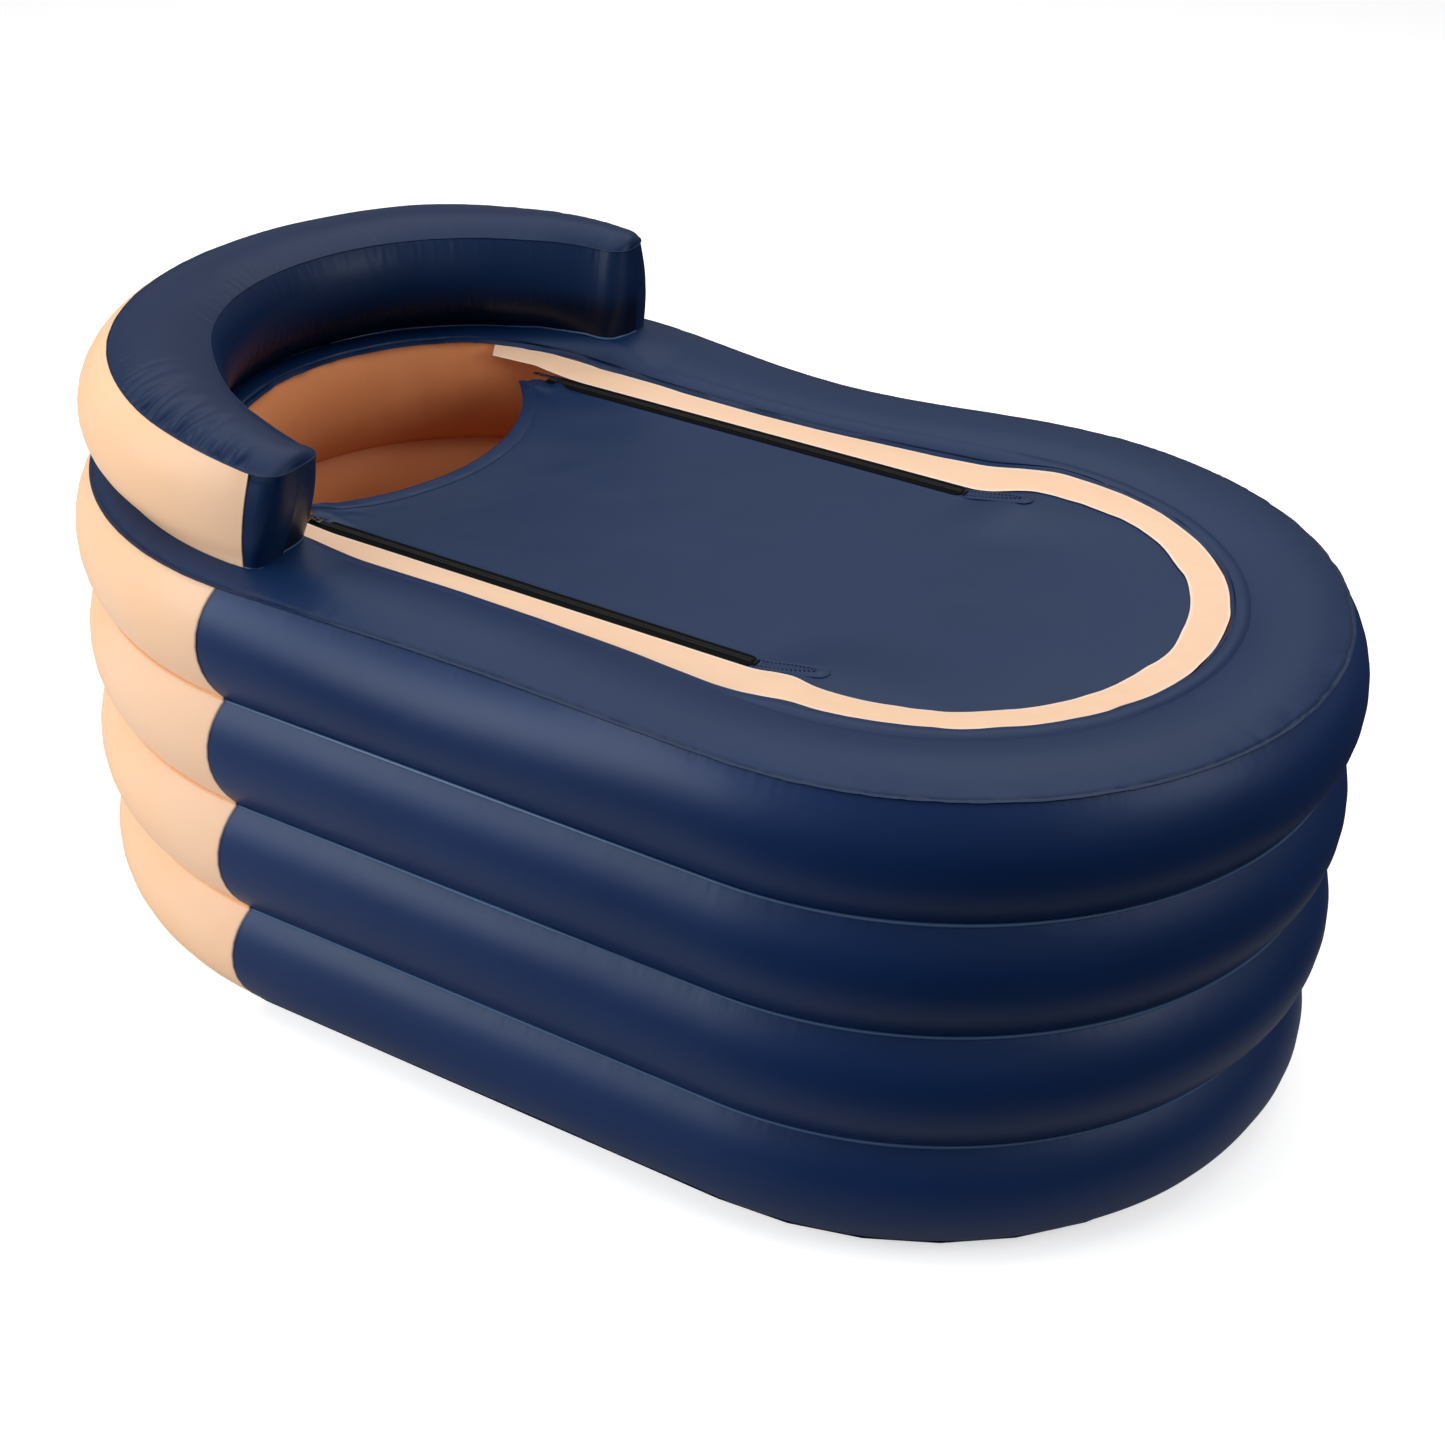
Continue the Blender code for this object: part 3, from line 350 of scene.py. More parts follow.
class Crumple:
    """Smooth seeded unevenness that closes on itself round the tub."""

    CELLS_ACROSS: int = 64
    START_ACROSS: float = 7.3

    def __init__(self, seed: int, period: float) -> None:
        """Start a numbered pattern for a way of a given length."""
        self.random = np.random.default_rng(seed)
        self.period = period

    def ripple(self, along: Array, across: Array, long_size: float, cross_size: float) -> Array:
        """Value noise between -1 and 1.

        Args:
            along: Lengths along the way.
            across: Lengths across it.
            long_size: Size of a bump along the way.
            cross_size: Size of a bump across it.

        Returns:
            One value for each place.
        """
        cells = max(4, round(self.period / long_size))
        table = self.random.uniform(-1.0, 1.0, (cells, self.CELLS_ACROSS))
        along, across = np.broadcast_arrays(np.asarray(along, float), np.asarray(across, float))
        grid_u = (along / self.period + 0.5) * cells
        grid_v = across / cross_size + self.START_ACROSS
        low_u, low_v = np.floor(grid_u).astype(int), np.floor(grid_v).astype(int)
        part_u, part_v = grid_u - low_u, grid_v - low_v
        part_u = part_u * part_u * (3 - 2 * part_u)
        part_v = part_v * part_v * (3 - 2 * part_v)
        corners = [table[(low_u + du) % cells, (low_v + dv) % self.CELLS_ACROSS]
                   for du in (0, 1) for dv in (0, 1)]
        near = corners[0] * (1 - part_v) + corners[1] * part_v
        far = corners[2] * (1 - part_v) + corners[3] * part_v
        return near * (1 - part_u) + far * part_u

    def ripples(self, along: Array, across: Array, *layers: tuple[float, float, float]) -> Array:
        """A sum of ripples.

        Args:
            along: Lengths along the way.
            across: Lengths across it.
            layers: Height of each ripple, and the size of its bumps along and across.

        Returns:
            One value for each place.
        """
        return sum(height * self.ripple(along, across, long_size, cross_size)
                   for height, long_size, cross_size in layers)

    def pleat(self, along: Array, across: Array, long_size: float, cross_size: float) -> Array:
        """Narrow pinched ridges between 0 and 1, from two crossed ripples."""
        return np.maximum(0.0, 1.0 - 3.0 * np.abs(self.ripple(along, across, long_size, cross_size)))

    def pulls(self, along: Array, depth: Array, ends: tuple[float, float], spacing: float, reach: float,
              width: float) -> Array:
        """Folds that start at a seam, each a valley beside a ridge, wider and weaker away from the seam.

        Args:
            along: Lengths along the seam.
            depth: Distances from the seam.
            ends: Where the folds start and end along the seam.
            spacing: Mean distance between folds.
            reach: Mean length of a fold.
            width: Half width of a fold at the seam.

        Returns:
            One value for each place, about -1 in a valley and 0.5 on a ridge.
        """
        along, depth = np.broadcast_arrays(np.asarray(along, float), np.asarray(depth, float))
        total = np.zeros(along.shape)
        spot = ends[0]
        while spot < ends[1]:
            strength, long = self.random.uniform(0.35, 1.0), reach * self.random.uniform(0.5, 1.6)
            lean, wide = self.random.uniform(-0.35, 0.35), width * self.random.uniform(0.7, 1.5)
            side = 1.0 if self.random.uniform() > 0.5 else -1.0
            offset = (along - spot - lean * depth) / (wide * (1.0 + 1.3 * depth / long))
            fade = strength * np.exp(-(depth / long) ** 1.5)
            total += fade * (0.5 * np.exp(-(offset - 1.7 * side) ** 2) - np.exp(-offset ** 2))
            spot += spacing * self.random.uniform(0.55, 1.6)
        return total


class Tube:
    """A closed section swept into a tube of rows and columns, whose points are then laid by code."""

    def __init__(self, name: str, rows: int, columns: int, closed: bool, cuts: int = 0) -> None:
        """Sweep the tube.

        Args:
            name: Name of the piece.
            rows: Points of the section.
            columns: Steps along the tube.
            closed: Whether the tube's end meets its start.
            cuts: Extra columns cut into each swept step.
        """
        self.rows = rows
        self.closed = closed
        coarse = columns // (cuts + 1)
        self.columns = coarse * (cuts + 1)
        Bench.clear()
        bpy.ops.mesh.primitive_circle_add(vertices=rows, radius=0.2, fill_type="NOTHING")
        self.piece = Bench.take(name)
        turn = 2 * np.pi * np.arange(rows) / rows
        across, up = 0.2 * np.cos(turn), 0.2 * np.sin(turn)
        flat = np.zeros(rows)
        start = np.stack([1.0 + across, flat, up] if closed else [flat, across, up], axis=-1)
        mesh = self.piece.data
        mesh.vertices.foreach_set("co", start.ravel())
        mesh.attributes.new("row", "FLOAT", "POINT").data.foreach_set("value", np.arange(rows, dtype=float))
        Bench.edit(self.piece, "VERT")
        if closed:
            bpy.ops.mesh.spin(steps=coarse, angle=-2 * math.pi, center=(0, 0, 0), axis=(0, 0, 1))
            bpy.ops.mesh.select_all(action="SELECT")
            bpy.ops.mesh.remove_doubles(threshold=WIDE_MERGE)
        else:
            for _ in range(coarse):
                bpy.ops.mesh.extrude_region_move(TRANSFORM_OT_translate={"value": (1.0, 0.0, 0.0)})
        Bench.done()
        if cuts:
            row = self._row()
            ends = np.zeros(len(mesh.edges) * 2, int)
            mesh.edges.foreach_get("vertices", ends)
            ends = ends.reshape(-1, 2)
            Bench.edit(self.piece, "EDGE", row[ends[:, 0]] == row[ends[:, 1]])
            bpy.ops.mesh.subdivide(number_cuts=cuts, smoothness=0.0)
            Bench.done()
        self.row = self._row()
        self.column = self._column(coarse, cuts)

    def _row(self) -> Array:
        """The row of every point."""
        mesh = self.piece.data
        values = np.zeros(len(mesh.vertices))
        mesh.attributes["row"].data.foreach_get("value", values)
        return np.rint(values).astype(int)

    def _column(self, coarse: int, cuts: int) -> Array:
        """The column of every point.

        Args:
            coarse: Swept steps.
            cuts: Columns cut into each.

        Returns:
            Column numbers.
        """
        points = Bench.points(self.piece)
        if not self.closed:
            return np.rint(points[:, 0] * (cuts + 1)).astype(int)
        sector = 2 * np.pi / coarse
        angle = np.arctan2(points[:, 1], points[:, 0]) % (2 * np.pi)
        step = np.floor(angle / sector + 1e-4)
        rest = angle - step * sector
        part = np.sin(rest) / (np.sin(rest) + np.sin(sector - rest))
        return np.rint((step + part) * (cuts + 1)).astype(int) % self.columns

    def lay(self, points: Array) -> None:
        """Put every point where an array by column, row and axis says."""
        Bench.put(self.piece, points[self.column, self.row])

    def lift(self, relief: Array) -> None:
        """Move every point out along its normal by a relief given by column and row."""
        points = Bench.points(self.piece)
        normals = np.zeros(points.size)
        self.piece.data.vertex_normals.foreach_get("vector", normals)
        way = normals.reshape(-1, 3) * self.facing
        Bench.put(self.piece, points + way * relief[self.column, self.row][:, None])

    def seal(self, moved: Sequence[int], kept: Sequence[int]) -> None:
        """Bring some rows onto others at both open ends, where the tube then closes without a wide face.

        Args:
            moved: Rows that are moved.
            kept: For each the row that it is brought to.
        """
        points = Bench.points(self.piece)
        for column in (0, self.columns):
            found = {row: index for row, index in zip(self.row[self.column == column],
                                                      np.flatnonzero(self.column == column))}
            for one, other in zip(moved, kept):
                points[found[one]] = points[found[other]]
        Bench.put(self.piece, points)

    def line(self, row: int) -> Array:
        """The points of one row, by column."""
        mine = self.row == row
        order = np.argsort(self.column[mine])
        return Bench.points(self.piece)[mine][order]

    @property
    def facing(self) -> float:
        """1 if the tube's faces point outwards, -1 if they point in, from its signed volume."""
        mesh = self.piece.data
        points = Bench.points(self.piece)
        mesh.calc_loop_triangles()
        corners = np.zeros(len(mesh.loop_triangles) * 3, int)
        mesh.loop_triangles.foreach_get("vertices", corners)
        one, two, three = (points[corners.reshape(-1, 3)[:, axis]] for axis in range(3))
        return 1.0 if np.sum(one * np.cross(two, three)) > 0 else -1.0

    def _full(self, values: Array) -> Array:
        """Values for every column and row."""
        return np.broadcast_to(values, (self.columns + (0 if self.closed else 1), self.rows))

    def mark(self, name: str, values: Array) -> None:
        """Write a value by column and row as an attribute for the materials."""
        attribute = self.piece.data.attributes.new(name, "FLOAT", "POINT")
        attribute.data.foreach_set("value", self._full(values)[self.column, self.row].astype(float))

    def unwrap(self, along: Array, across: Array, period: float = 0.0) -> None:
        """Write the piece's own UV map in metres.

        Args:
            along: Length along the tube, by column.
            across: Length across it, by row or by column and row.
            period: Length of the closed way, so that the last faces don't run back.
        """
        layer, corners = Bench.film_map(self.piece)
        u = along[self.column[corners]]
        v = self._full(across)[self.column[corners], self.row[corners]]
        if period and len(corners) == 4 * len(self.piece.data.polygons):
            faces = u.reshape(-1, 4)
            far = faces.max(axis=1, keepdims=True) - faces > period / 2
            u = (faces + far * period).ravel()
        layer.uv.foreach_set("vector", np.stack([u, v], axis=-1).ravel())

    def drop(self, rows: Sequence[int]) -> None:
        """Delete the faces that lie wholly in some rows, such as those along an axis."""
        mesh = self.piece.data
        flagged = np.isin(self.row, rows)
        chosen = np.array([all(flagged[index] for index in face.vertices) for face in mesh.polygons])
        Bench.edit(self.piece, "FACE", chosen)
        bpy.ops.mesh.delete(type="ONLY_FACE")
        Bench.done()

    def finish(self, material: bpy.types.Material, degrees: float = 35.0,
               merge: float = MERGE) -> bpy.types.Object:
        """Close the ends, turn the faces outwards, smooth and dress the piece.

        Args:
            material: Its material.
            degrees: Edges sharper than this stay sharp.
            merge: Points closer than this become one.

        Returns:
            The piece.
        """
        if not self.closed:
            Bench.edit(self.piece, "VERT")
            bpy.ops.mesh.remove_doubles(threshold=merge)
            bpy.ops.mesh.select_all(action="DESELECT")
            bpy.ops.mesh.select_non_manifold(extend=False, use_wire=False, use_multi_face=False,
                                             use_non_contiguous=False, use_verts=False)
            bpy.ops.mesh.fill_holes(sides=0)
            Bench.done()
        Bench.close(self.piece, merge)
        self.piece.data.attributes.remove(self.piece.data.attributes["row"])
        Bench.smooth(self.piece, degrees)
        self.piece.data.materials.clear()
        self.piece.data.materials.append(material)
        return self.piece


@dataclass(frozen=True)
class Row:
    """One lengthwise line of a section: its run, its share of that run, and what it is part of."""

    run: int
    share: float
    out: float = 0.0
    pucker: float = 0.0
    weld: float = 0.0


@dataclass
class Section:
    """The rows of a section, and the runs that they lie on."""

    rows: list[Row]

    def __post_init__(self) -> None:
        """Keep each fact of the rows as an array."""
        self.run = np.array([row.run for row in self.rows])
        self.share = np.array([row.share for row in self.rows])
        self.out = np.array([row.out for row in self.rows])
        self.pucker = np.array([row.pucker for row in self.rows])
        self.weld = np.array([row.weld for row in self.rows])

    @staticmethod
    def spread(run: int, count: int, first: float = 0.0, last: float = 1.0, out: float = 0.0) -> list[Row]:
        """Rows spread evenly over part of a run."""
        return [Row(run, share, out) for share in np.linspace(first, last, count)]

    def lay(self, runs: Sequence[tuple], columns: int) -> tuple[Array, Array]:
        """Radii and heights of every row at every column.

        Args:
            runs: For each run its start radius and height, end radius and height, and bulge; each a
                number or one value for each column.
            columns: How many columns there are.

        Returns:
            Radii and heights by column and row.
        """
        radius = np.zeros((columns, len(self.rows)))
        height = np.zeros((columns, len(self.rows)))
        for index, run in enumerate(runs):
            mine = self.run == index
            ends = [np.broadcast_to(value, (columns,))[:, None] for value in run]
            share, out = self.share[mine][None, :], self.out[mine][None, :]
            radius[:, mine], height[:, mine] = bowed(*ends, share, out)
        return radius, height

    def across(self, radius: Array, height: Array) -> Array:
        """Length along the section from its first row, by column and row."""
        steps = np.hypot(np.diff(radius, axis=1), np.diff(height, axis=1))
        return np.concatenate([np.zeros((len(radius), 1)), np.cumsum(steps, axis=1)], axis=1)


def bowed(start_r: Array, start_z: Array, end_r: Array, end_z: Array, bulge: Array, share: Array,
          out: Array = 0.0) -> tuple[Array, Array]:
    """A point of an arc that bulges to the right of its way.

    Args:
        start_r: Radius of the arc's start.
        start_z: Height of its start.
        end_r: Radius of its end.
        end_z: Height of its end.
        bulge: How far it stands out from its chord.
        share: Share of the way along it.
        out: How far the point stands out from the arc.

    Returns:
        Radius and height.
    """
    way_r, way_z = end_r - start_r, end_z - start_z
    length = np.maximum(np.hypot(way_r, way_z), TINY)
    way_r, way_z = way_r / length, way_z / length
    out_r, out_z = way_z, -way_r
    bulge = np.where(np.abs(bulge) < 1e-6, 1e-6, bulge)
    half = length / 2
    reach = (half * half + bulge * bulge) / (2 * bulge)
    turn = 2 * np.arctan2(bulge, half) * (2 * share - 1)
    side = (reach + out * np.sign(bulge)) * np.cos(turn) + bulge - reach
    along = (reach + out * np.sign(bulge)) * np.sin(turn)
    return ((start_r + end_r) / 2 + out_r * side + way_r * along,
            (start_z + end_z) / 2 + out_z * side + way_z * along)


def half_turn(angle: Array) -> Array:
    """Directions as angles between minus and plus half a turn from the foot."""
    return (angle + np.pi) % (2 * np.pi) - np.pi


def clip(value: Array) -> Array:
    """Limit a share to the range 0 to 1."""
    return np.clip(value, 0.0, 1.0)


def ease(value: Array) -> Array:
    """Turn a straight change from 0 to 1 into a smooth one."""
    value = clip(value)
    return value * value * (3 - 2 * value)


class Signal:
    """One output of a material's node, used like a number."""

    def __init__(self, desk: "Desk", socket: bpy.types.NodeSocket) -> None:
        """Wrap a socket of a desk's material."""
        self.desk = desk
        self.socket = socket

    def _math(self, operation: str, first: object, second: object) -> "Signal":
        """A Math node on two values or signals."""
        return self.desk.signal("ShaderNodeMath", {"operation": operation}, {0: first, 1: second})

    def __add__(self, other: object) -> "Signal":
        """This plus another."""
        return self._math("ADD", self, other)

    def __radd__(self, other: object) -> "Signal":
        """Another plus this."""
        return self._math("ADD", other, self)

    def __sub__(self, other: object) -> "Signal":
        """This less another."""
        return self._math("SUBTRACT", self, other)

    def __rsub__(self, other: object) -> "Signal":
        """Another less this."""
        return self._math("SUBTRACT", other, self)

    def __mul__(self, other: object) -> "Signal":
        """This times another."""
        return self._math("MULTIPLY", self, other)

    def __rmul__(self, other: object) -> "Signal":
        """Another times this."""
        return self._math("MULTIPLY", other, self)

    def most(self, other: object) -> "Signal":
        """The greater of this and another."""
        return self._math("MAXIMUM", self, other)


class Desk:
    """Makes the nodes of one material, or of the world."""

    def __init__(self, name: str, world: bool = False) -> None:
        """Start an empty material or world."""
        self.material = bpy.data.worlds.new(name) if world else bpy.data.materials.new(name)
        self.material.use_nodes = True
        self.tree = self.material.node_tree
        self.tree.nodes.clear()
        self.output = self.node("ShaderNodeOutputWorld" if world else "ShaderNodeOutputMaterial")

    def node(self, kind: str, settings: Optional[dict] = None,
             sockets: Optional[dict] = None) -> bpy.types.Node:
        """Add a node.

        Args:
            kind: The node's type.
            settings: Its settings, set first; stops are a ramp's places and colours.
            sockets: Values or signals of its inputs, by name or number.

        Returns:
            The node.
        """
        made = self.tree.nodes.new(kind)
        for name, value in (settings or {}).items():
            if name == "stops":
                stops = made.color_ramp.elements
                for index, (place, colour) in enumerate(value):
                    stop = stops[index] if index < 2 else stops.new(place)
                    stop.position = place
                    stop.color = (*colour, 1.0)
            else:
                setattr(made, name, value)
        for name, value in (sockets or {}).items():
            if isinstance(value, Signal):
                self.tree.links.new(value.socket, made.inputs[name])
            else:
                made.inputs[name].default_value = value
        return made

    def signal(self, kind: str, settings: Optional[dict] = None, sockets: Optional[dict] = None,
               output: object = 0) -> Signal:
        """Add a node and take one of its outputs."""
        return Signal(self, self.node(kind, settings, sockets).outputs[output])

    def place(self) -> Signal:
        """Object coordinates, in metres."""
        return self.signal("ShaderNodeTexCoord", output="Object")

    def film(self) -> Signal:
        """The piece's own UV map, in metres."""
        return self.signal("ShaderNodeUVMap", {"uv_map": "film"})

    def marked(self, name: str) -> Signal:
        """A value written on the mesh."""
        return self.signal("ShaderNodeAttribute", {"attribute_name": name}, output="Fac")

    def noise(self, vector: Signal, scale: float, detail: float = 2.0, rough: float = 0.5) -> Signal:
        """Noise from 0 to 1."""
        return self.signal("ShaderNodeTexNoise", None,
                           {"Vector": vector, "Scale": scale, "Detail": detail, "Roughness": rough}, "Fac")

    def stretched(self, vector: Signal, scale: Sequence[float]) -> Signal:
        """A vector scaled by its own factor along each axis."""
        return self.signal("ShaderNodeVectorMath", {"operation": "MULTIPLY"}, {0: vector, 1: tuple(scale)})

    def band(self, value: Signal, low: float, high: float) -> Signal:
        """0 below a value, 1 above another, smooth between them."""
        return self.signal("ShaderNodeMapRange", {"interpolation_type": "SMOOTHSTEP"},
                           {"Value": value, "From Min": low, "From Max": high})

    def blend(self, share: object, first: object, second: object) -> Signal:
        """A colour between two colours."""
        first = (*first, 1.0) if isinstance(first, tuple) else first
        second = (*second, 1.0) if isinstance(second, tuple) else second
        return self.signal("ShaderNodeMix", {"data_type": "RGBA"}, {0: share, 6: first, 7: second}, 2)

    def relief(self, height: Signal) -> Signal:
        """A normal from a height in metres."""
        return self.signal("ShaderNodeBump", None, {"Height": height, "Distance": 1.0, "Strength": 1.0})

    def surface(self, **sockets: object) -> bpy.types.Material:
        """Finish the material with a Principled shader; an underscore in a name stands for a space."""
        shader = self.signal("ShaderNodeBsdfPrincipled", None,
                             {name.replace("_", " "): value for name, value in sockets.items()})
        self.end(shader)
        return self.material

    def end(self, shader: Signal) -> None:
        """Join a shader to the output."""
        self.tree.links.new(shader.socket, self.output.inputs["Surface"])


@dataclass(frozen=True)
class Vinyl:
    """Satin vinyl film with a fine grain, slow unevenness, and pleats where an attribute asks for them.
    Colours are painted where the weld and lip marks ask: painted shade in creases, grooves and joins, and
    painted highlights on some weld strips and edges.
    """

    name: str
    colour: Colour
    # crease is painted shade for creases, grooves and the cushion's lower front; on the navy wall it is a
    # lighter navy, a painted highlight on the weld strips.
    crease: Colour
    bright: Colour
    roughness: float = 0.40
    specular: float = 0.35
    grain: float = 0.00003
    wander: float = 0.00050
    pleats: float = 0.00060
    tint: Colour = (1.0, 1.0, 1.0)
    # lip is painted along marked edges: by default a cream painted highlight, and on the two walls a dark
    # painted shade.
    lip: Colour = (1.0, 0.90, 0.80)

    def material(self, unwrapped: bool = True) -> bpy.types.Material:
        """Make the material.

        Args:
            unwrapped: Whether the piece carries the film's own UV map and marks.

        Returns:
            The material.
        """
        desk = Desk(self.name)
        place = desk.place()
        broad = desk.noise(place, 4.0, 2.0)
        slow = desk.noise(place, 17.0, 3.0, 0.55)
        grain = desk.noise(place, 620.0, 2.0, 0.6)
        height = slow * self.wander + grain * self.grain
        colour = desk.blend(desk.band(broad, 0.30, 0.70), self.colour, self.bright)
        rough = self.roughness - 0.05 + broad * 0.06 + grain * 0.06
        if unwrapped:
            film = desk.film()
            pucker = desk.marked("pucker")
            weld = desk.marked("weld")
            narrow = desk.noise(desk.stretched(film, (95.0, 11.0, 1.0)), 1.0, 2.0, 0.6)
            wide = desk.noise(desk.stretched(film, (34.0, 7.0, 1.0)), 1.0, 2.0, 0.5)
            height = height + (narrow * self.pleats + wide * (2 * self.pleats)) * pucker
            # Paint the crease colour where the weld mark asks: painted shade in creases and grooves, a
            # painted highlight on the navy wall's weld strips. Then paint the lip colour along marked edges.
            colour = desk.blend(weld, colour, self.crease)
            colour = desk.blend(desk.marked("lip"), colour, self.lip)
            rough = rough - weld * 0.06
        return desk.surface(Base_Color=colour, Roughness=rough, Normal=desk.relief(height),
                            Specular_IOR_Level=self.specular, Specular_Tint=(*self.tint, 1.0))


@dataclass(frozen=True)
class Tape:
    """Woven zip tape."""

    name: str
    colour: Colour
    thread: Colour
    pitch: float = 0.0009

    def material(self) -> bpy.types.Material:
        """Make the material."""
        desk = Desk(self.name)
        place = desk.place()
        count = 2 * math.pi / self.pitch
        lines = [desk.signal("ShaderNodeMath", {"operation": "SINE"},
                             {0: desk.signal("ShaderNodeSeparateXYZ", None, {0: place}, axis) * count})
                 for axis in ("X", "Y")]
        weave = lines[0] * lines[1] * 0.5 + 0.5
        fuzz = desk.noise(place, 900.0, 2.0)
        colour = desk.blend(weave * fuzz, self.colour, self.thread)
        height = weave * 0.00012 + fuzz * 0.00006
        return desk.surface(Base_Color=colour, Roughness=0.70 + fuzz * 0.2, Normal=desk.relief(height),
                            Specular_IOR_Level=0.10)


@dataclass(frozen=True)
class Moulded:
    """Moulded or cast material: plastic, or metal where metallic is 1."""

    name: str
    colour: Colour
    worn: Colour
    roughness: float
    metallic: float = 0.0
    specular: float = 0.45
    grain: float = 0.00002

    def material(self) -> bpy.types.Material:
        """Make the material."""
        desk = Desk(self.name)
        place = desk.place()
        broad = desk.noise(place, 90.0, 3.0)
        fine = desk.noise(place, 1400.0, 2.0)
        colour = desk.blend(desk.band(broad, 0.35, 0.75), self.colour, self.worn)
        return desk.surface(Base_Color=colour, Roughness=self.roughness + broad * 0.12 - 0.06,
                            Metallic=self.metallic, Normal=desk.relief(fine * self.grain + broad * 0.00005),
                            Specular_IOR_Level=self.specular)


class Finishes:
    """Every finish of the tub, made once."""

    def __init__(self) -> None:
        """Make the materials."""
        navy, deep = (0.0018, 0.0175, 0.0710), (0.0012, 0.0100, 0.0420)
        # weld_highlight_navy is a lighter navy: a painted highlight on the navy wall's weld strips and on the
        # cushion's base seam.
        light_navy, weld_highlight_navy, blue = (0.0024, 0.0200, 0.0800), (0.0600, 0.1200, 0.2500), (0.78, 0.86, 1.0)
        peach, pale, tan = (0.970, 0.610, 0.365), (0.960, 0.640, 0.430), (0.880, 0.450, 0.220)
        # inside is the peach deepened to a darker, redder orange: painted shade and painted light bounced
        # between the tub's peach inner walls; inside_weld_shade is darker still, painted shade at the ring
        # welds.
        inside, inside_weld_shade = (0.900, 0.330, 0.130), (0.740, 0.200, 0.065)
        # The navy wall's crease colour is the lighter navy, a painted highlight on its weld strips; its lip
        # colour is near black, painted shade along the join with the peach wall and beside each weld strip.
        self.wall_navy = Vinyl("navy_wall", (0.0010, 0.0170, 0.0850), weld_highlight_navy, (0.0014, 0.0200, 0.0980),
                               0.43, 0.42, tint=(0.68, 0.80, 1.0), lip=(0.0005, 0.0040, 0.0200)).material()
        self.rim_navy = Vinyl("navy_rim", navy, deep, light_navy, 0.42, 0.36, tint=blue).material()
        self.cover_navy = Vinyl("navy_cover", navy, deep, light_navy, 0.42, 0.40, wander=0.0007,
                                tint=blue).material()
        # The cushion's navy is a darker copy of the tub's navy, painted shade; its crease colour is near
        # black, painted shade on the lower half of its inner face.
        self.back_navy = Vinyl("navy_backrest_shaded", (0.0010, 0.0130, 0.0560), (0.0003, 0.0020, 0.0100),
                               (0.0013, 0.0150, 0.0620), 0.40, 0.32,
                               wander=0.0006, tint=blue).material()
        self.seam_navy = Vinyl("navy_seam", deep, deep, navy, 0.42, 0.34, tint=blue).material()
        # The cushion's base seam is painted in the lighter navy, a painted highlight along its weld edge.
        self.weld_highlight_navy = Vinyl("navy_base_seam_highlight", weld_highlight_navy, weld_highlight_navy, navy, 0.34, 0.5, tint=blue).material()
        self.tab_navy = Vinyl("navy_tab", navy, deep, light_navy, 0.42, 0.40, tint=blue).material(False)
        self.base_navy = Vinyl("navy_base", deep, deep, navy, 0.46, 0.3, tint=blue).material(False)
        # The peach wall's crease colour is a darker peach, painted shade at its weld strips; its lip colour
        # is dark navy, painted shade along the join with the navy wall.
        self.wall_peach = Vinyl("peach_wall", peach, (0.940, 0.550, 0.310), pale, 0.42, 0.22,
                                wander=0.0008, lip=(0.030, 0.032, 0.060)).material()
        self.ring_peach = Vinyl("peach_ring_painted_shade", inside, inside_weld_shade, (0.940, 0.360, 0.150), 0.46, 0.20,
                                wander=0.0008).material()
        self.back_peach = Vinyl("peach_back_skin", peach, tan, pale, 0.42, 0.22).material()
        # The band keeps the default cream lip colour: a painted highlight along its two edges.
        self.band_peach = Vinyl("peach_band", pale, tan, (0.960, 0.655, 0.445), 0.46, 0.22).material()
        self.floor_peach = Vinyl("peach_floor", pale, tan, peach, 0.44, 0.28).material()
        self.tape_black = Tape("zip_tape_black", (0.0012, 0.0013, 0.0015),
                               (0.0035, 0.0038, 0.0045)).material()
        self.coil_black = Moulded("zip_coil_black", (0.004, 0.0045, 0.006), (0.010, 0.011, 0.014),
                                  0.38).material()
        self.stop_metal = Moulded("zip_stop_metal", (0.010, 0.010, 0.012), (0.02, 0.02, 0.025),
                                  0.5, 1.0).material()
        self.zip_metal = Moulded("zip_dark_metal", (0.045, 0.045, 0.050), (0.12, 0.12, 0.13),
                                 0.34, 1.0).material()
        self.thread = Moulded("navy_thread", (0.0006, 0.0015, 0.006), (0.0012, 0.003, 0.010), 0.7,
                              specular=0.2).material()
        self.valve_white = Moulded("valve_white", (0.80, 0.81, 0.82), (0.74, 0.75, 0.76), 0.34).material()
        self.valve_clear = Moulded("valve_soft_white", (0.72, 0.74, 0.76), (0.66, 0.68, 0.70),
                                   0.45).material()


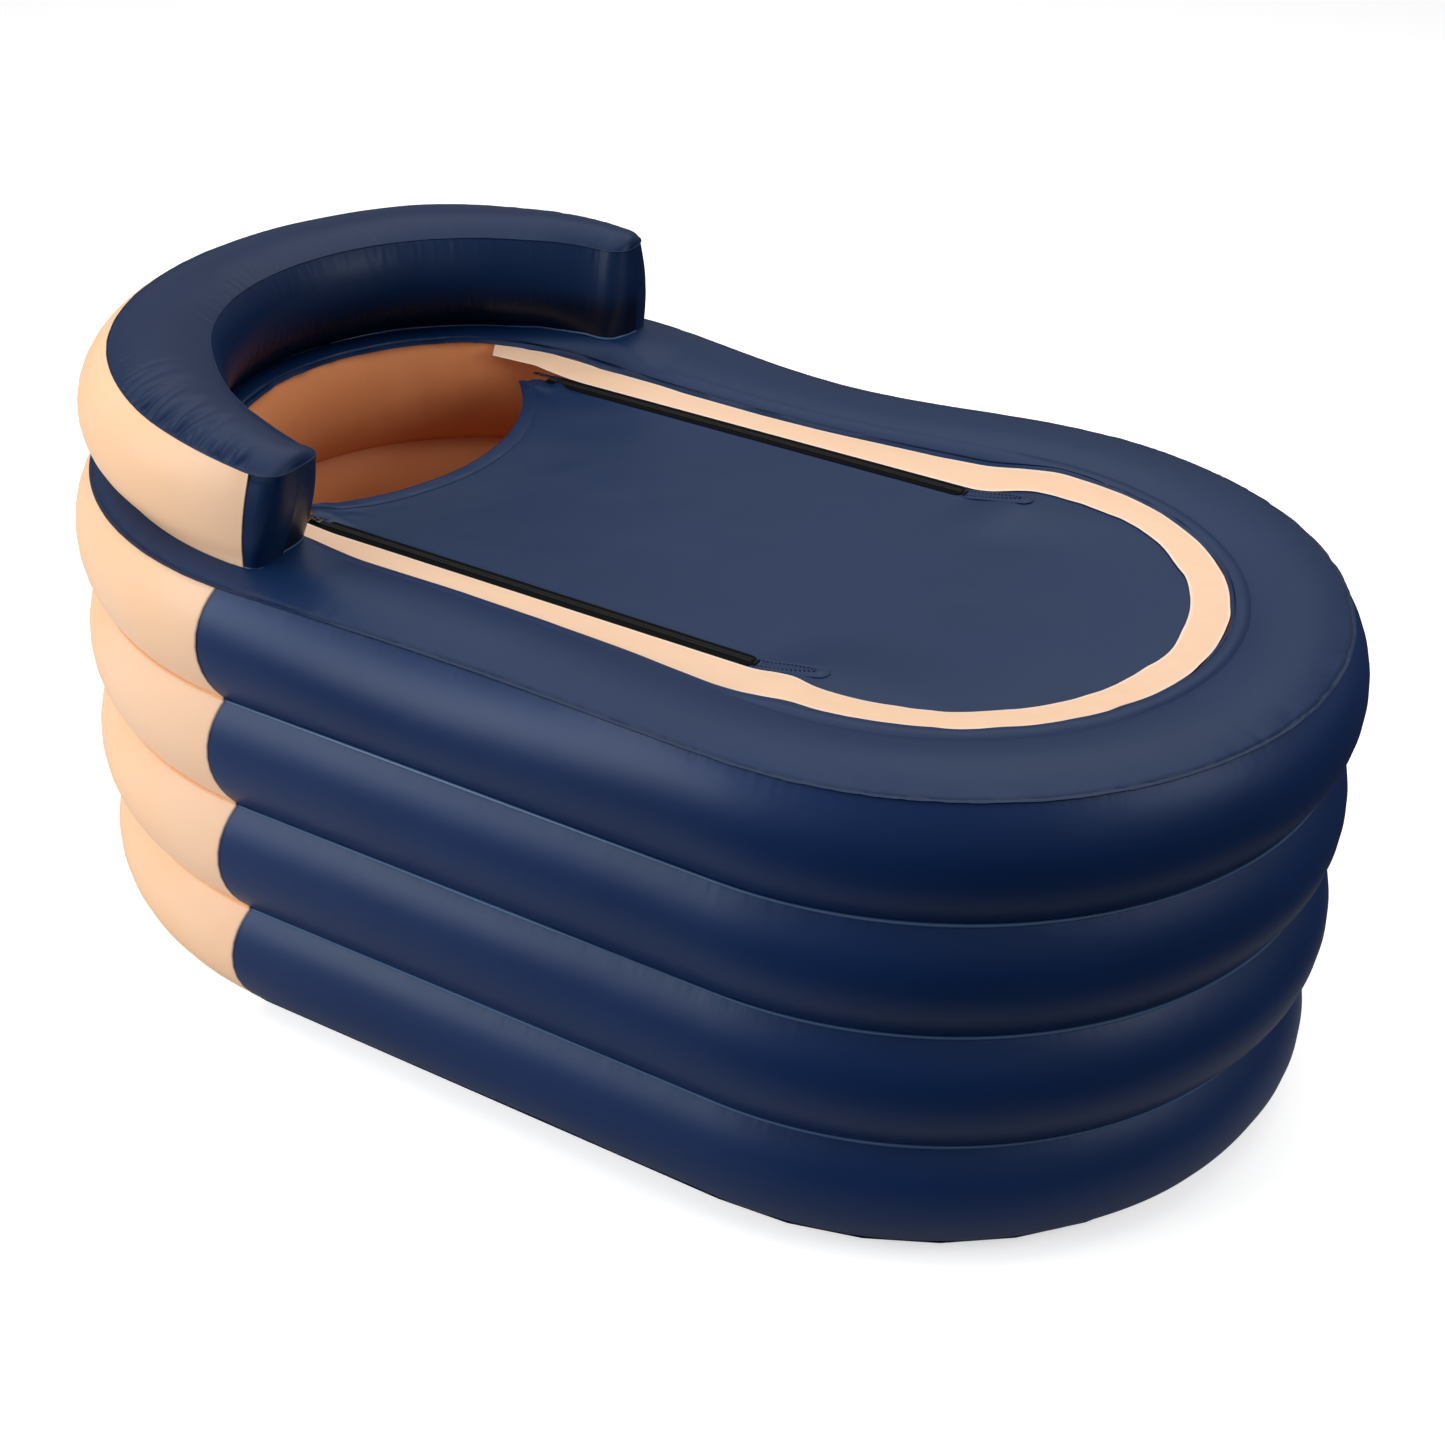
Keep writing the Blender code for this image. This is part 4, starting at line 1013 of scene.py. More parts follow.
@dataclass
class Walls:
    """The corrugated outer wall of four rings: navy round the foot, peach round the head."""

    plan: Plan
    weld_z: tuple[float, ...] = (0.0013, 0.1498, 0.3003, 0.4438, 0.5868)
    weld_r: tuple[float, ...] = (0.4245, 0.4410, 0.4475, 0.4515, 0.4490)
    bulge: tuple[float, ...] = (0.0355, 0.0315, 0.0265, 0.0265)
    strip: float = 0.0034
    join_turn: float = math.radians(1.7)
    join_swell: float = 0.0140
    join_reach: float = 0.0900

    def section(self) -> Section:
        """The wall's rows: four arcs with a flat weld strip between them, then the inside."""
        rows: list[Row] = []
        for ring in range(4):
            low = 0.0 if ring == 0 else 0.013
            high = 1.0 if ring == 3 else 0.987
            shares = low + (high - low) * (0.5 - 0.5 * np.cos(np.linspace(0, np.pi, 15)))
            rows += [Row(ring, share, 0.0, math.exp(-min(share, 1 - share) / 0.075)) for share in shares]
            if ring < 3:
                rows += [Row(4 + ring, share, 0.0, 0.2, 1.0) for share in (0.0, 0.3, 0.5, 0.7, 1.0)]
        outer = [row for row in rows if row.run < 4]
        return Section(rows + [Row(row.run, row.share, -SKIN) for row in reversed(outer)][1::3])

    def runs(self) -> list[tuple]:
        """The arcs and the strips between them."""
        arcs = [(self.weld_r[i], self.weld_z[i], self.weld_r[i + 1], self.weld_z[i + 1], self.bulge[i])
                for i in range(4)]
        strips = [(self.weld_r[i] + 0.0012, self.weld_z[i] - self.strip / 2,
                   self.weld_r[i] + 0.0014, self.weld_z[i] + self.strip / 2, 0.0032) for i in (1, 2, 3)]
        return arcs + strips

    def joined(self, angle: Array, at: Array, section: Section) -> Array:
        """Angles by column and row, drawn towards the head where a ring swells at the wall's two ends.

        Args:
            angle: Angles by column.
            at: Lengths along the wall.
            section: The wall's rows.

        Returns:
            Angles by column and row.
        """
        swell = np.where(section.run < 4, np.sin(np.pi * clip(section.share)) ** 0.8, 0.0) - 0.35
        close = ease(1 - at / self.join_reach) + ease(1 - (at[-1] - at) / self.join_reach)
        turned = half_turn(angle)
        shift = np.sign(turned)[:, None] * self.join_swell / self.weld_r[4] * close[:, None] * swell[None, :]
        return angle[:, None] + shift

    def make(self, name: str, course: Course, columns: int, seed: int, material: bpy.types.Material,
             coat: Coat) -> bpy.types.Object:
        """Make one wall.

        Args:
            name: Name of the piece.
            course: The way that it follows.
            columns: Steps along it.
            seed: Number of its unevenness.
            material: Its finish.
            coat: Its coat, navy or peach; on the navy wall the painted shade beside the weld strips is marked
                too.

        Returns:
            The piece.
        """
        section = self.section()
        tube = Tube(name, len(section.rows), columns, False, 9)
        centre, angle, at = course.spread(tube.columns)
        radius, height = section.lay(self.runs(), len(centre))
        tube.lay(self.plan.place(centre[:, None], self.joined(angle, at, section), radius, height))
        way = self.plan.way(centre, angle)[:, None]
        across = section.across(radius, height)
        crumple = Crumple(seed, self.plan.period)
        outer = (section.out >= 0.0)[None, :]
        fixed = (section.weld > 0)[None, :]
        slow = crumple.ripples(way, height, (0.0011, 0.26, 0.15), (0.0006, 0.11, 0.10))
        taut = 0.25 + 0.75 * ease((np.abs(way) - 1.25) / 0.3)
        puckers = (0.0005 * crumple.ripple(way, height, 0.030, 0.08)
                   - 0.0007 * crumple.pleat(way, height, 0.045, 0.09)) * section.pucker[None, :] * taut
        calm = np.where(fixed, 0.10, 1.0)
        hidden = np.maximum(-slow, 0.0) + 0.0008
        tube.lift((slow * (1 - section.pucker[None, :]) + puckers * calm) * outer + hidden * (~outer))
        inner_rows = np.flatnonzero(section.out < 0)
        pairs = [int(np.flatnonzero((section.out >= 0) & (section.run == section.run[row])
                                    & (section.share == section.share[row]))[0]) for row in inner_rows]
        tube.seal(inner_rows.tolist(), pairs)
        tube.mark("pucker", section.pucker)
        # weld mark: the strips take the crease colour, a painted highlight on the navy wall and painted shade
        # on the peach one.
        tube.mark("weld", section.weld)
        # lip mark: painted shade along the two ends where the walls meet, and on the navy wall beside each
        # weld strip.
        lip = ease(1.4 - np.minimum(at, at[-1] - at) / 0.003)[:, None]
        beside = (section.run >= 4) & (np.abs(section.share - 0.5) > 0.4) & (coat is Coat.NAVY)
        tube.mark("lip", np.maximum(lip, beside[None, :] * 1.0))
        tube.unwrap(at, across)
        wall = tube.finish(material)
        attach(wall, Body.TUB.value)
        return wall

    def build(self, finishes: Finishes) -> None:
        """Make both walls."""
        foot = self.make("wall_foot", self.plan.round_foot(self.join_turn), 640, 11, finishes.wall_navy,
                         Coat.NAVY)
        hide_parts("outer_wall_foot")
        head = self.make("wall_head", self.plan.round_head(self.join_turn), 360, 12, finishes.wall_peach,
                         Coat.PEACH)
        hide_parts("outer_wall_head")
        LOG.info("walls: navy round the foot, peach round the head")


@dataclass
class Rim:
    """The navy panel on the top ring: weld flange, crown, ridge and inner edge."""

    plan: Plan
    flange: float = 0.0042
    ridge_r: float = 0.3250
    ridge_out: float = 0.0140
    side_keys: tuple[float, ...] = (-0.320, -0.100, 0.000, 0.100, 0.200, 0.270)
    side_edges: tuple[float, ...] = (0.3000, 0.2985, 0.3010, 0.3065, 0.3130, 0.3190)
    foot_edge_out: float = 0.0020
    foot_edge_rise: float = 0.0130
    rise_x: float = 0.2200
    rise_reach: float = 0.1100
    ridge_z: float = 0.6046
    flat_ridge_z: float = 0.5900
    ridge_fade: float = 0.085
    crown: float = 0.0085
    ridge_crown: float = 0.0036
    head_edge_r: float = 0.2840
    head_edge_rise: float = 0.0110
    foot_edge_drop: float = 0.0125
    fade: float = math.radians(35.0)

    def foot(self, centre: Array, angle: Array) -> Array:
        """0 on the straight sides, growing to 1 round the foot."""
        turned = np.abs(half_turn(angle))
        straight = centre < self.plan.straight_half - TINY
        return np.where(straight, 0.0, ease((np.pi / 2 - turned) / math.radians(50.0)))

    def edge_rise(self, x: Array) -> Array:
        """How far the inner edge climbs past the zips, by its place along the tub."""
        return self.foot_edge_rise * ease((x - self.rise_x) / self.rise_reach)

    def ridge_at(self, centre: Array, angle: Array) -> Array:
        """Radius of the ridge, which keeps outside the inner edge."""
        wide = np.interp(centre, self.side_keys, self.side_edges) - self.side_edges[0]
        out = self.ridge_out * wide / (self.side_edges[-1] - self.side_edges[0]) + 0.0040
        return self.ridge_r + out * self.pull(centre, angle)

    def pull(self, centre: Array, angle: Array) -> Array:
        """1 where the band pulls the inner edge down, 0 round the head."""
        return clip(1.0 - self.plan.head_turn(centre, angle) / self.fade)

    def ridge(self, centre: Array) -> Array:
        """Height of the ridge, which sinks past the backrest's ends."""
        share = ease((centre + self.plan.straight_half) / self.ridge_fade)
        return self.ridge_z + (self.flat_ridge_z - self.ridge_z) * share

    def edge(self, centre: Array, angle: Array) -> tuple[Array, Array]:
        """Radius and height of the inner edge."""
        pull, foot = self.pull(centre, angle), self.foot(centre, angle)
        side = np.interp(centre, self.side_keys, self.side_edges)
        radius = self.head_edge_r + (side - self.head_edge_r) * pull + self.foot_edge_out * foot
        height = self.head_edge_rise - (self.head_edge_rise + self.foot_edge_drop) * pull
        return radius, self.plan.seam_z + height + self.edge_rise(centre + radius * np.cos(angle))

    def top_z(self, radius: Array) -> Array:
        """Height of the crown at a radius between the ridge and the seam."""
        start, end = np.array([self.plan.seam_r, self.plan.seam_z]), np.array([self.ridge_r, self.ridge_z])
        length = float(np.hypot(*(end - start)))
        way = (end - start) / length
        reach = (length ** 2 / 4 + self.crown ** 2) / (2 * self.crown)
        middle = (start + end) / 2 + np.array([way[1], -way[0]]) * (self.crown - reach)
        return middle[1] + np.sqrt(np.maximum(reach ** 2 - (radius - middle[0]) ** 2, 0.0))

    def section(self) -> Section:
        """Flange, weld groove, crown, ridge and fine line, then the underside."""
        rows = [Row(0, 0.0, 0.0, 0.7), Row(0, 0.5, 0.0, 0.7), Row(0, 0.86, -0.0003, 0.7, 1.0)]
        rows += [Row(1, 0.004, -0.0006, 0.9, 1.0)]
        for share in (0.5 - 0.5 * np.cos(np.linspace(0.30, np.pi - 0.1, 18))):
            rows.append(Row(1, share, 0.0, math.exp(-share / 0.13) + 0.15 * math.exp(-(1 - share) / 0.1)))
        rows += [Row(2, share, 0.0, 0.25) for share in (0.0, 0.12, 0.24, 0.36, 0.48, 0.59, 0.68)]
        rows += [Row(2, 0.74, 0.0, 0.3), Row(2, 0.79, -0.0014, 0.3, 1.0), Row(2, 0.84, 0.0, 0.3)]
        rows += [Row(2, 0.92, 0.0, 0.4), Row(2, 1.0, -0.0001, 0.5)]
        rows += [Row(2, share, -SKIN) for share in (0.99, 0.5)]
        rows += [Row(1, share, -SKIN) for share in (0.98, 0.75, 0.5, 0.25, 0.02)] + [Row(0, 0.0, -SKIN)]
        return Section(rows)

    def build(self, finishes: Finishes) -> None:
        """Make the panel."""
        section = self.section()
        tube = Tube("rim", len(section.rows), 1100, True, 9)
        centre, angle, at = self.plan.loop().spread(tube.columns)
        edge_r, edge_z = self.edge(centre, angle)
        ridge_r = self.ridge_at(centre, angle)
        seam_r, seam_z = self.plan.seam_r, self.plan.seam_z
        radius, height = section.lay([
            (seam_r + self.flange, seam_z - 0.0012, seam_r, seam_z, 0.0),
            (seam_r, seam_z, ridge_r, self.ridge(centre), self.crown),
            (ridge_r, self.ridge(centre), edge_r, edge_z, self.ridge_crown)], len(centre))
        way = self.plan.way(centre, angle)[:, None]
        crumple = Crumple(21, self.plan.period)
        flange = ((section.run == 0) & (section.share < 0.9))[None, :] * (1.0 - section.share[None, :])
        far_side = (angle < np.pi)[:, None]
        calm = 1 - 0.8 * ease((self.plan.straight_half + 0.1 - centre) / 0.2)[:, None] * far_side
        middle = 0.0003
        wave = crumple.ripples(way, 0.0, (0.0007, 0.018, 1.0), (0.0006, 0.0075, 1.0))
        wave = (wave + crumple.pleat(way, 0.0, 0.020, 1.0) * 0.0010 - middle) * calm
        out = crumple.ripples(way, 0.0, (0.0006, 0.020, 1.0), (0.0005, 0.008, 1.0)) - middle
        radius = radius + flange * calm * out
        edge_kinks = crumple.ripples(way, 0.0, (0.0011, 0.026, 1.0), (0.0014, 0.070, 1.0))
        by_edge = np.where(section.run == 2, ease((section.share - 0.7) / 0.25), 0.0)[None, :]
        radius = radius + edge_kinks * by_edge
        height = height + (flange + 0.35 * (section.run == 1) * (section.share < 0.05)) * wave
        tube.lay(self.plan.place(centre[:, None], angle[:, None], radius, height))
        outer = (section.out > -SKIN)[None, :]
        slow = crumple.ripples(way, radius, (0.0010, 0.22, 0.10), (0.0005, 0.09, 0.07))
        near = np.where(section.run == 1, np.exp(-section.share / 0.13), 0.0)[None, :]
        puckers = (0.0006 * crumple.ripple(way, radius, 0.022, 0.05)
                   - 0.0009 * crumple.pleat(way, radius, 0.036, 0.06)) * near
        inner = np.where(section.run == 2, ease(section.share), 0.0)[None, :]
        edge_wave = 0.0008 * crumple.ripple(way, 0.0, 0.05, 1.0) * inner
        hidden = (np.maximum(-slow, 0.0) + 0.0004) * np.where(section.run == 1, 1.0, 0.0)[None, :]
        tube.lift(((slow * (1 - near) + edge_wave) * (section.run > 0)[None, :] + puckers) * outer
                  + hidden * (~outer))
        tube.mark("pucker", section.pucker)
        # weld mark: the grooves at the outer seam and at the fine line take the darker crease colour, painted
        # shade.
        tube.mark("weld", section.weld)
        tube.unwrap(at, section.across(radius, height), self.plan.period)
        rim = tube.finish(finishes.rim_navy)
        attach(rim, Body.TUB.value)
        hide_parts("rim_panel")
        LOG.info("rim: panel with its weld flange")


@dataclass
class AirRings:
    """The four air rings, whose inner sides line the tub."""

    plan: Plan
    walls: Walls
    rim: Rim
    inner_r: tuple[float, ...] = (0.3400, 0.3350, 0.3300, 0.3250)
    bulge: float = 0.0280
    top_bulge: float = 0.0220
    names: tuple[str, ...] = ("bottom", "lower", "upper", "top")

    def make(self, index: int, finishes: Finishes) -> None:
        """Make one ring.

        Args:
            index: Its number from the ground up.
            finishes: The tub's finishes.
        """
        top = index == 3
        rows = Section.spread(0, 9, 0.0, 1.0)
        if top:
            rows += Section.spread(1, 6, 0.0, 1.0)[1:] + Section.spread(2, 5, 0.0, 1.0)[1:]
        inner = 3 if top else 1
        for share in 0.5 - 0.5 * np.cos(np.linspace(0, np.pi, 18)):
            rows.append(Row(inner, share, 0.0, 0.25 + 0.75 * math.exp(-min(share, 1 - share) / 0.09)))
        section = Section(rows)
        tube = Tube("air_ring_" + self.names[index], len(rows), 480, True, 7)
        centre, angle, at = self.plan.loop().spread(tube.columns)
        inset = SKIN + 3 * GAP + 0.0012
        walls = self.walls
        low_z, high_z = walls.weld_z[index] + GAP / 2, walls.weld_z[index + 1] - GAP / 2
        runs = [(walls.weld_r[index] - inset, low_z, walls.weld_r[index + 1] - inset, high_z,
                 walls.bulge[index])]
        if top:
            edge_r, edge_z = self.rim.edge(centre, angle)
            drop = 0.0028
            edge = (edge_r + 0.0035, edge_z - 0.0022)
            ridge_z = self.rim.ridge(centre) - drop
            ridge_r = self.rim.ridge_at(centre, angle)
            runs += [(walls.weld_r[4] - inset, self.plan.seam_z - drop, ridge_r, ridge_z, self.rim.crown),
                     (ridge_r, ridge_z, *edge, self.rim.ridge_crown),
                     (*edge, self.inner_r[3], low_z, self.top_bulge)]
        else:
            runs.append((self.inner_r[index + 1], high_z, self.inner_r[index], low_z, self.bulge))
        radius, height = section.lay(runs, len(centre))
        tube.lay(self.plan.place(centre[:, None], angle[:, None], radius, height))
        way = self.plan.way(centre, angle)[:, None]
        crumple = Crumple(31 + index, self.plan.period)
        shown = section.run == inner
        near = np.where(shown, section.pucker, 0.0)
        middle = np.where(shown, np.sin(np.pi * section.share), 0.0)[None, :]
        folds = (crumple.ripples(way, height, (0.0014, 0.075, 0.16), (0.0009, 0.030, 0.14))
                 - 0.0014 * crumple.pleat(way, height, 0.060, 0.12) * near[None, :])
        tube.lift(folds * middle)
        tube.mark("pucker", near * 0.8)
        # weld mark: the inner side darkens to the crease colour next to each weld, painted shade.
        to_weld = np.minimum(section.share, 1 - section.share)
        tube.mark("weld", np.where(shown, np.exp(-to_weld / 0.01), 0.0) * 0.4)
        tube.unwrap(at, section.across(radius, height), self.plan.period)
        ring = tube.finish(finishes.ring_peach)
        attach(ring, Body.TUB.value)
        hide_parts("ring_" + self.names[index])

    def build(self, finishes: Finishes) -> None:
        """Make all four rings."""
        for index in range(4):
            self.make(index, finishes)
            LOG.info("air ring: %s", self.names[index])


@dataclass(frozen=True)
class Bead:
    """A narrow welded edge that runs right round a panel, along the panel's own points."""

    width: float = 0.0020
    wander: float = 0.0004

    def make(self, name: str, line: Array, columns: int, seed: int,
             material: bpy.types.Material) -> bpy.types.Object:
        """Make the edge.

        Args:
            name: Name of the piece.
            line: The closed line that it follows.
            columns: Steps along it.
            seed: Number of its unevenness.
            material: Its finish.

        Returns:
            The piece.
        """
        tube = Tube(name, 8, columns, True, 9)
        looped = np.concatenate([line, line[:1]])
        length = np.concatenate([[0.0], np.cumsum(np.linalg.norm(np.diff(looped, axis=0), axis=1))])
        at = np.linspace(0.0, length[-1], tube.columns + 1)[:-1]
        centre = np.stack([np.interp(at, length, looped[:, axis]) for axis in range(3)], axis=-1)
        ahead = np.roll(centre, -2, axis=0) - np.roll(centre, 2, axis=0)
        ahead = ahead / np.linalg.norm(ahead, axis=1, keepdims=True)
        side = np.cross(ahead, np.array([0.0, 0.0, 1.0]))
        side = side / np.linalg.norm(side, axis=1, keepdims=True).clip(1e-6)
        rise = np.cross(side, ahead)
        turn = 2 * np.pi * np.arange(8) / 8
        crumple = Crumple(seed, length[-1])
        drift = self.wander * crumple.ripples(at, 0.0, (1.0, 0.020, 1.0), (0.5, 0.009, 1.0))
        across = self.width / 2 * np.cos(turn)[None, :] + drift[:, None] / 2
        up = self.width / 2 * np.sin(turn)[None, :] + drift[:, None]
        tube.lay(centre[:, None, :] + side[:, None, :] * across[..., None] + rise[:, None, :] * up[..., None])
        tube.unwrap(at, np.arange(8) * self.width / 3, length[-1])
        bead = tube.finish(material, 60.0)
        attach(bead, Body.TUB.value)
        return bead


@dataclass
class Backrest:
    """The navy cushion that stands on the rim round the head, with a peach skin on its back."""

    plan: Plan
    rim: Rim
    turn: float = math.radians(90.0)
    toe_r: float = 0.3260
    outer_r: float = 0.4180
    height: float = 0.1320
    end_height: float = 0.1130
    top_outer_r: float = 0.4160
    top_inner_r: float = 0.2960
    near_inner_r: float = 0.3290
    far_inner_r: float = 0.3450
    back_bulge: float = 0.0400
    end_bulge: float = 0.0060
    crown: float = 0.0180
    front_bulge: float = 0.0300
    front_end_bulge: float = 0.0050
    fade: float = math.radians(48.0)
    near_lean: tuple[float, float] = (0.0020, 0.0200)
    far_lean: tuple[float, float] = (-0.0220, -0.0290)
    lean_turn: float = math.radians(24.0)
    near_nose: tuple[float, float] = (0.0210, 0.0360)
    far_nose: tuple[float, float] = (0.0270, 0.0290)
    nose_turn: float = math.radians(14.0)
    top_length: float = 0.105
    side_length: float = 0.125

    def share(self, angle: Array) -> Array:
        """1 behind the bather's back, falling to 0 at the two ends."""
        return np.sin(clip((self.turn - np.abs(np.pi - angle)) / self.fade) * np.pi / 2)

    def top_z(self, angle: Array) -> Array:
        """Height of the top seams."""
        return self.rim.ridge_z + self.end_height + (self.height - self.end_height) * self.share(angle)

    def inner_r(self, angle: Array) -> Array:
        """Radius of the inner top seam."""
        end = np.where(angle < np.pi, self.far_inner_r, self.near_inner_r)
        return end + (self.top_inner_r - end) * self.share(angle)

    def runs(self, angle: Array) -> list[tuple]:
        """Back, top, front and seat at each column."""
        share, high = self.share(angle), self.top_z(angle)
        low, toe = float(self.rim.top_z(self.outer_r)) + 2 * GAP, float(self.rim.top_z(self.toe_r)) + 2 * GAP
        bulge = self.end_bulge + (self.back_bulge - self.end_bulge) * share
        inner = self.inner_r(angle)
        front = self.front_end_bulge + (self.front_bulge - self.front_end_bulge) * share
        return [(self.outer_r, low, self.top_outer_r, high, bulge),
                (self.top_outer_r, high, inner, high, self.crown),
                (inner, high, self.toe_r, toe, front),
                (self.toe_r, toe, self.outer_r, low, 0.0)]

    def leant(self, points: Array, angle: Array, height: Array) -> Array:
        """Lean the near end forward and the far one back, the more the higher, and give the points."""
        close = ease(1 - (self.turn - np.abs(np.pi - angle)) / self.lean_turn)[:, None]
        rise = clip((height - self.rim.ridge_z) / self.end_height)
        near = (angle > np.pi)[:, None]
        low, high = (np.where(near, self.near_lean[end], self.far_lean[end]) for end in (0, 1))
        moved = points.copy()
        moved[..., 0] += (low + (high - low) * rise) * close
        return moved

    def puckers(self, crumple: Crumple, section: Section, at: Array) -> Array:
        """Folds along the cushion's seams, the strongest beside its two ends.

        Args:
            crumple: The cushion's unevenness.
            section: Its rows.
            at: Lengths along the cushion.

        Returns:
            Relief by column and row.
        """
        half = at[-1] / 2
        along = (at - half)[:, None]
        run, share = section.run[None, :], section.share[None, :]
        side = ease((np.abs(along) - 0.34) / 0.24)
        nose = self.nose_turn * self.plan.seam_r
        body = ease((half - nose - np.abs(along)) / 0.02 + 0.6)
        top, side_face = self.top_length, self.side_length
        depth = np.where(run == 1, share * top, np.where(run == 0, (1 - share) * side_face, 1.0))
        outer = crumple.pulls(along, depth, (nose - half, half - nose), 0.0120, 0.030, 0.0030)
        outer = outer * np.where(run == 1, 1.0, np.where(run == 0, 0.3, 0.0)) * (0.14 + 0.86 * side)
        outer = outer * (1 - np.exp(-depth / 0.0028)) * (0.12 + 0.88 * ease((along + 0.15) / 0.4))
        start = np.where(run == 1, (1 - share) * top, np.where(run == 2, share * side_face, 1.0))
        inner = crumple.pulls(along, start, (-half + 0.02, half - 0.02), 0.021, 0.014, 0.0026)
        inner = inner * (1 - np.exp(-start / 0.003))
        middle = 0.62
        belly = np.where(run == 2, np.exp(-((share - middle) / 0.16) ** 2), 0.0)
        rise = np.abs(share - middle) * side_face
        upright = crumple.pulls(along, rise, (-half, half), 0.021, 0.022, 0.0026)
        return (0.0048 * outer + 0.0007 * inner + 0.0009 * upright * belly) * body

    def cushion(self, finishes: Finishes) -> bpy.types.Object:
        """Make the navy cushion.

        Args:
            finishes: The tub's finishes.

        Returns:
            The piece.
        """
        rows = [Row(0, share, -0.0017, math.exp(-(1 - share) / 0.12))
                for share in np.linspace(0.0, 0.985, 13)]
        for share in 0.5 - 0.5 * np.cos(np.linspace(0.0, np.pi, 30)):
            rows.append(Row(1, share, 0.0, math.exp(-share / 0.16) + 0.6 * math.exp(-(1 - share) / 0.12)))
        for share in 0.5 - 0.5 * np.cos(np.linspace(0.25, np.pi, 20)):
            pucker = 0.7 * math.exp(-share / 0.10) + 0.5 * math.exp(-(1 - share) / 0.08)
            rows.append(Row(2, share, 0.0, pucker))
        rows += Section.spread(3, 7, 0.12, 0.88)
        section = Section(rows)
        tube = Tube("backrest_cushion", len(rows), 720, False, 8)
        course = Course(self.plan, [(-self.plan.straight_half, np.pi - self.turn - self.nose_turn),
                                    (-self.plan.straight_half, np.pi + self.turn + self.nose_turn)], False)
        centre, free, at = course.spread(tube.columns)
        angle = np.clip(free, np.pi - self.turn, np.pi + self.turn)
        past = np.abs(free - angle)[:, None] / self.nose_turn
        radius, height = section.lay(self.runs(angle), len(centre))
        seat, top = section.run == 3, section.run == 1
        height[:, seat] = self.rim.top_z(radius[:, seat]) + 2 * GAP
        inward = 1 - (1 - past) ** 1.6
        middle_r = (self.outer_r + self.near_inner_r) / 2
        radius = radius + (middle_r - radius) * inward
        seam, near_end = self.top_z(angle)[:, None], (angle > np.pi)[:, None]
        sunk = seam + (height - seam) * (1 - inward) ** np.where(near_end, 1.5, 0.8)
        height = np.where(top[None, :], sunk, height)
        points = self.leant(self.plan.place(centre[:, None], angle[:, None], radius, height), angle, height)
        rise = clip((height - self.rim.ridge_z) / self.end_height)
        low, high = (np.where(near_end, self.near_nose[end], self.far_nose[end]) for end in (0, 1))
        depth = low + (high - low) * rise + 0.004 * np.sin(np.pi * rise)
        power = np.where(near_end, 3.4, 2.2)
        points[..., 0] += depth * (1 - (1 - inward) ** power) ** (1 / power)
        tube.lay(points)
        way = self.plan.way(centre, free)[:, None]
        crumple = Crumple(41, self.plan.period)
        near = np.where(section.run == 1, np.exp(-section.share / 0.15), 0.0)
        near = (near + np.where(section.run == 0, np.exp(-(1 - section.share) / 0.10), 0.0))[None, :]
        inner = np.where(section.run == 1, np.exp(-(1 - section.share) / 0.10), 0.0)
        inner = (inner + np.where(section.run == 2, np.exp(-section.share / 0.10), 0.0))[None, :]
        slow = (0.0012 * crumple.ripple(way, height, 0.17, 0.07)
                + 0.0006 * crumple.ripple(way, radius, 0.07, 0.05))
        flat = (1 - near) * (1 - inner) * (1 - 0.7 * clip(past))
        relief = slow * flat + self.puckers(crumple, section, at)
        crease = 0.0009 * np.exp(-((height - 0.653 - 0.006 * inward) / 0.003) ** 2) * ease(past / 0.3)
        crease = crease * ease((0.95 - past) / 0.35)
        tube.lift((relief - crease) * (~seat)[None, :] * np.where(past >= 1 - 1e-6, 0.0, 1.0))
        front, back = np.flatnonzero(section.run == 2), np.flatnonzero(section.run == 0)
        partner = [int(back[np.argmin(np.abs(section.share[back] - (1 - section.share[row])))])
                   for row in front]
        tube.seal(front.tolist(), partner)
        first, last = int(np.flatnonzero(top)[0]), int(np.flatnonzero(top)[-1])
        bottom = int(np.flatnonzero(section.run == 2)[-1])
        seam_line = np.concatenate([tube.line(first), tube.line(last)[::-1]])
        base_line = np.concatenate([tube.line(0), tube.line(bottom)[::-1]])
        Bead(0.0021, 0.0003).make("backrest_top_seam", seam_line, 1200, 44, finishes.seam_navy)
        Bead(0.0034, 0.0007).make("backrest_base_seam", base_line, 1200, 45, finishes.weld_highlight_navy)
        tube.mark("pucker", section.pucker)
        # weld mark: the lower half of the inner face fades to the near-black crease colour, painted shade
        # under the bulge.
        tube.mark("weld", np.where(section.run == 2, 0.9 * ease((section.share - 0.42) / 0.30), 0.0))
        tube.unwrap(at, section.across(radius, height))
        cushion = tube.finish(finishes.back_navy, 50.0, 2e-5)
        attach(cushion, Body.TUB.value)
        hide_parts("backrest_cushion")
        return cushion

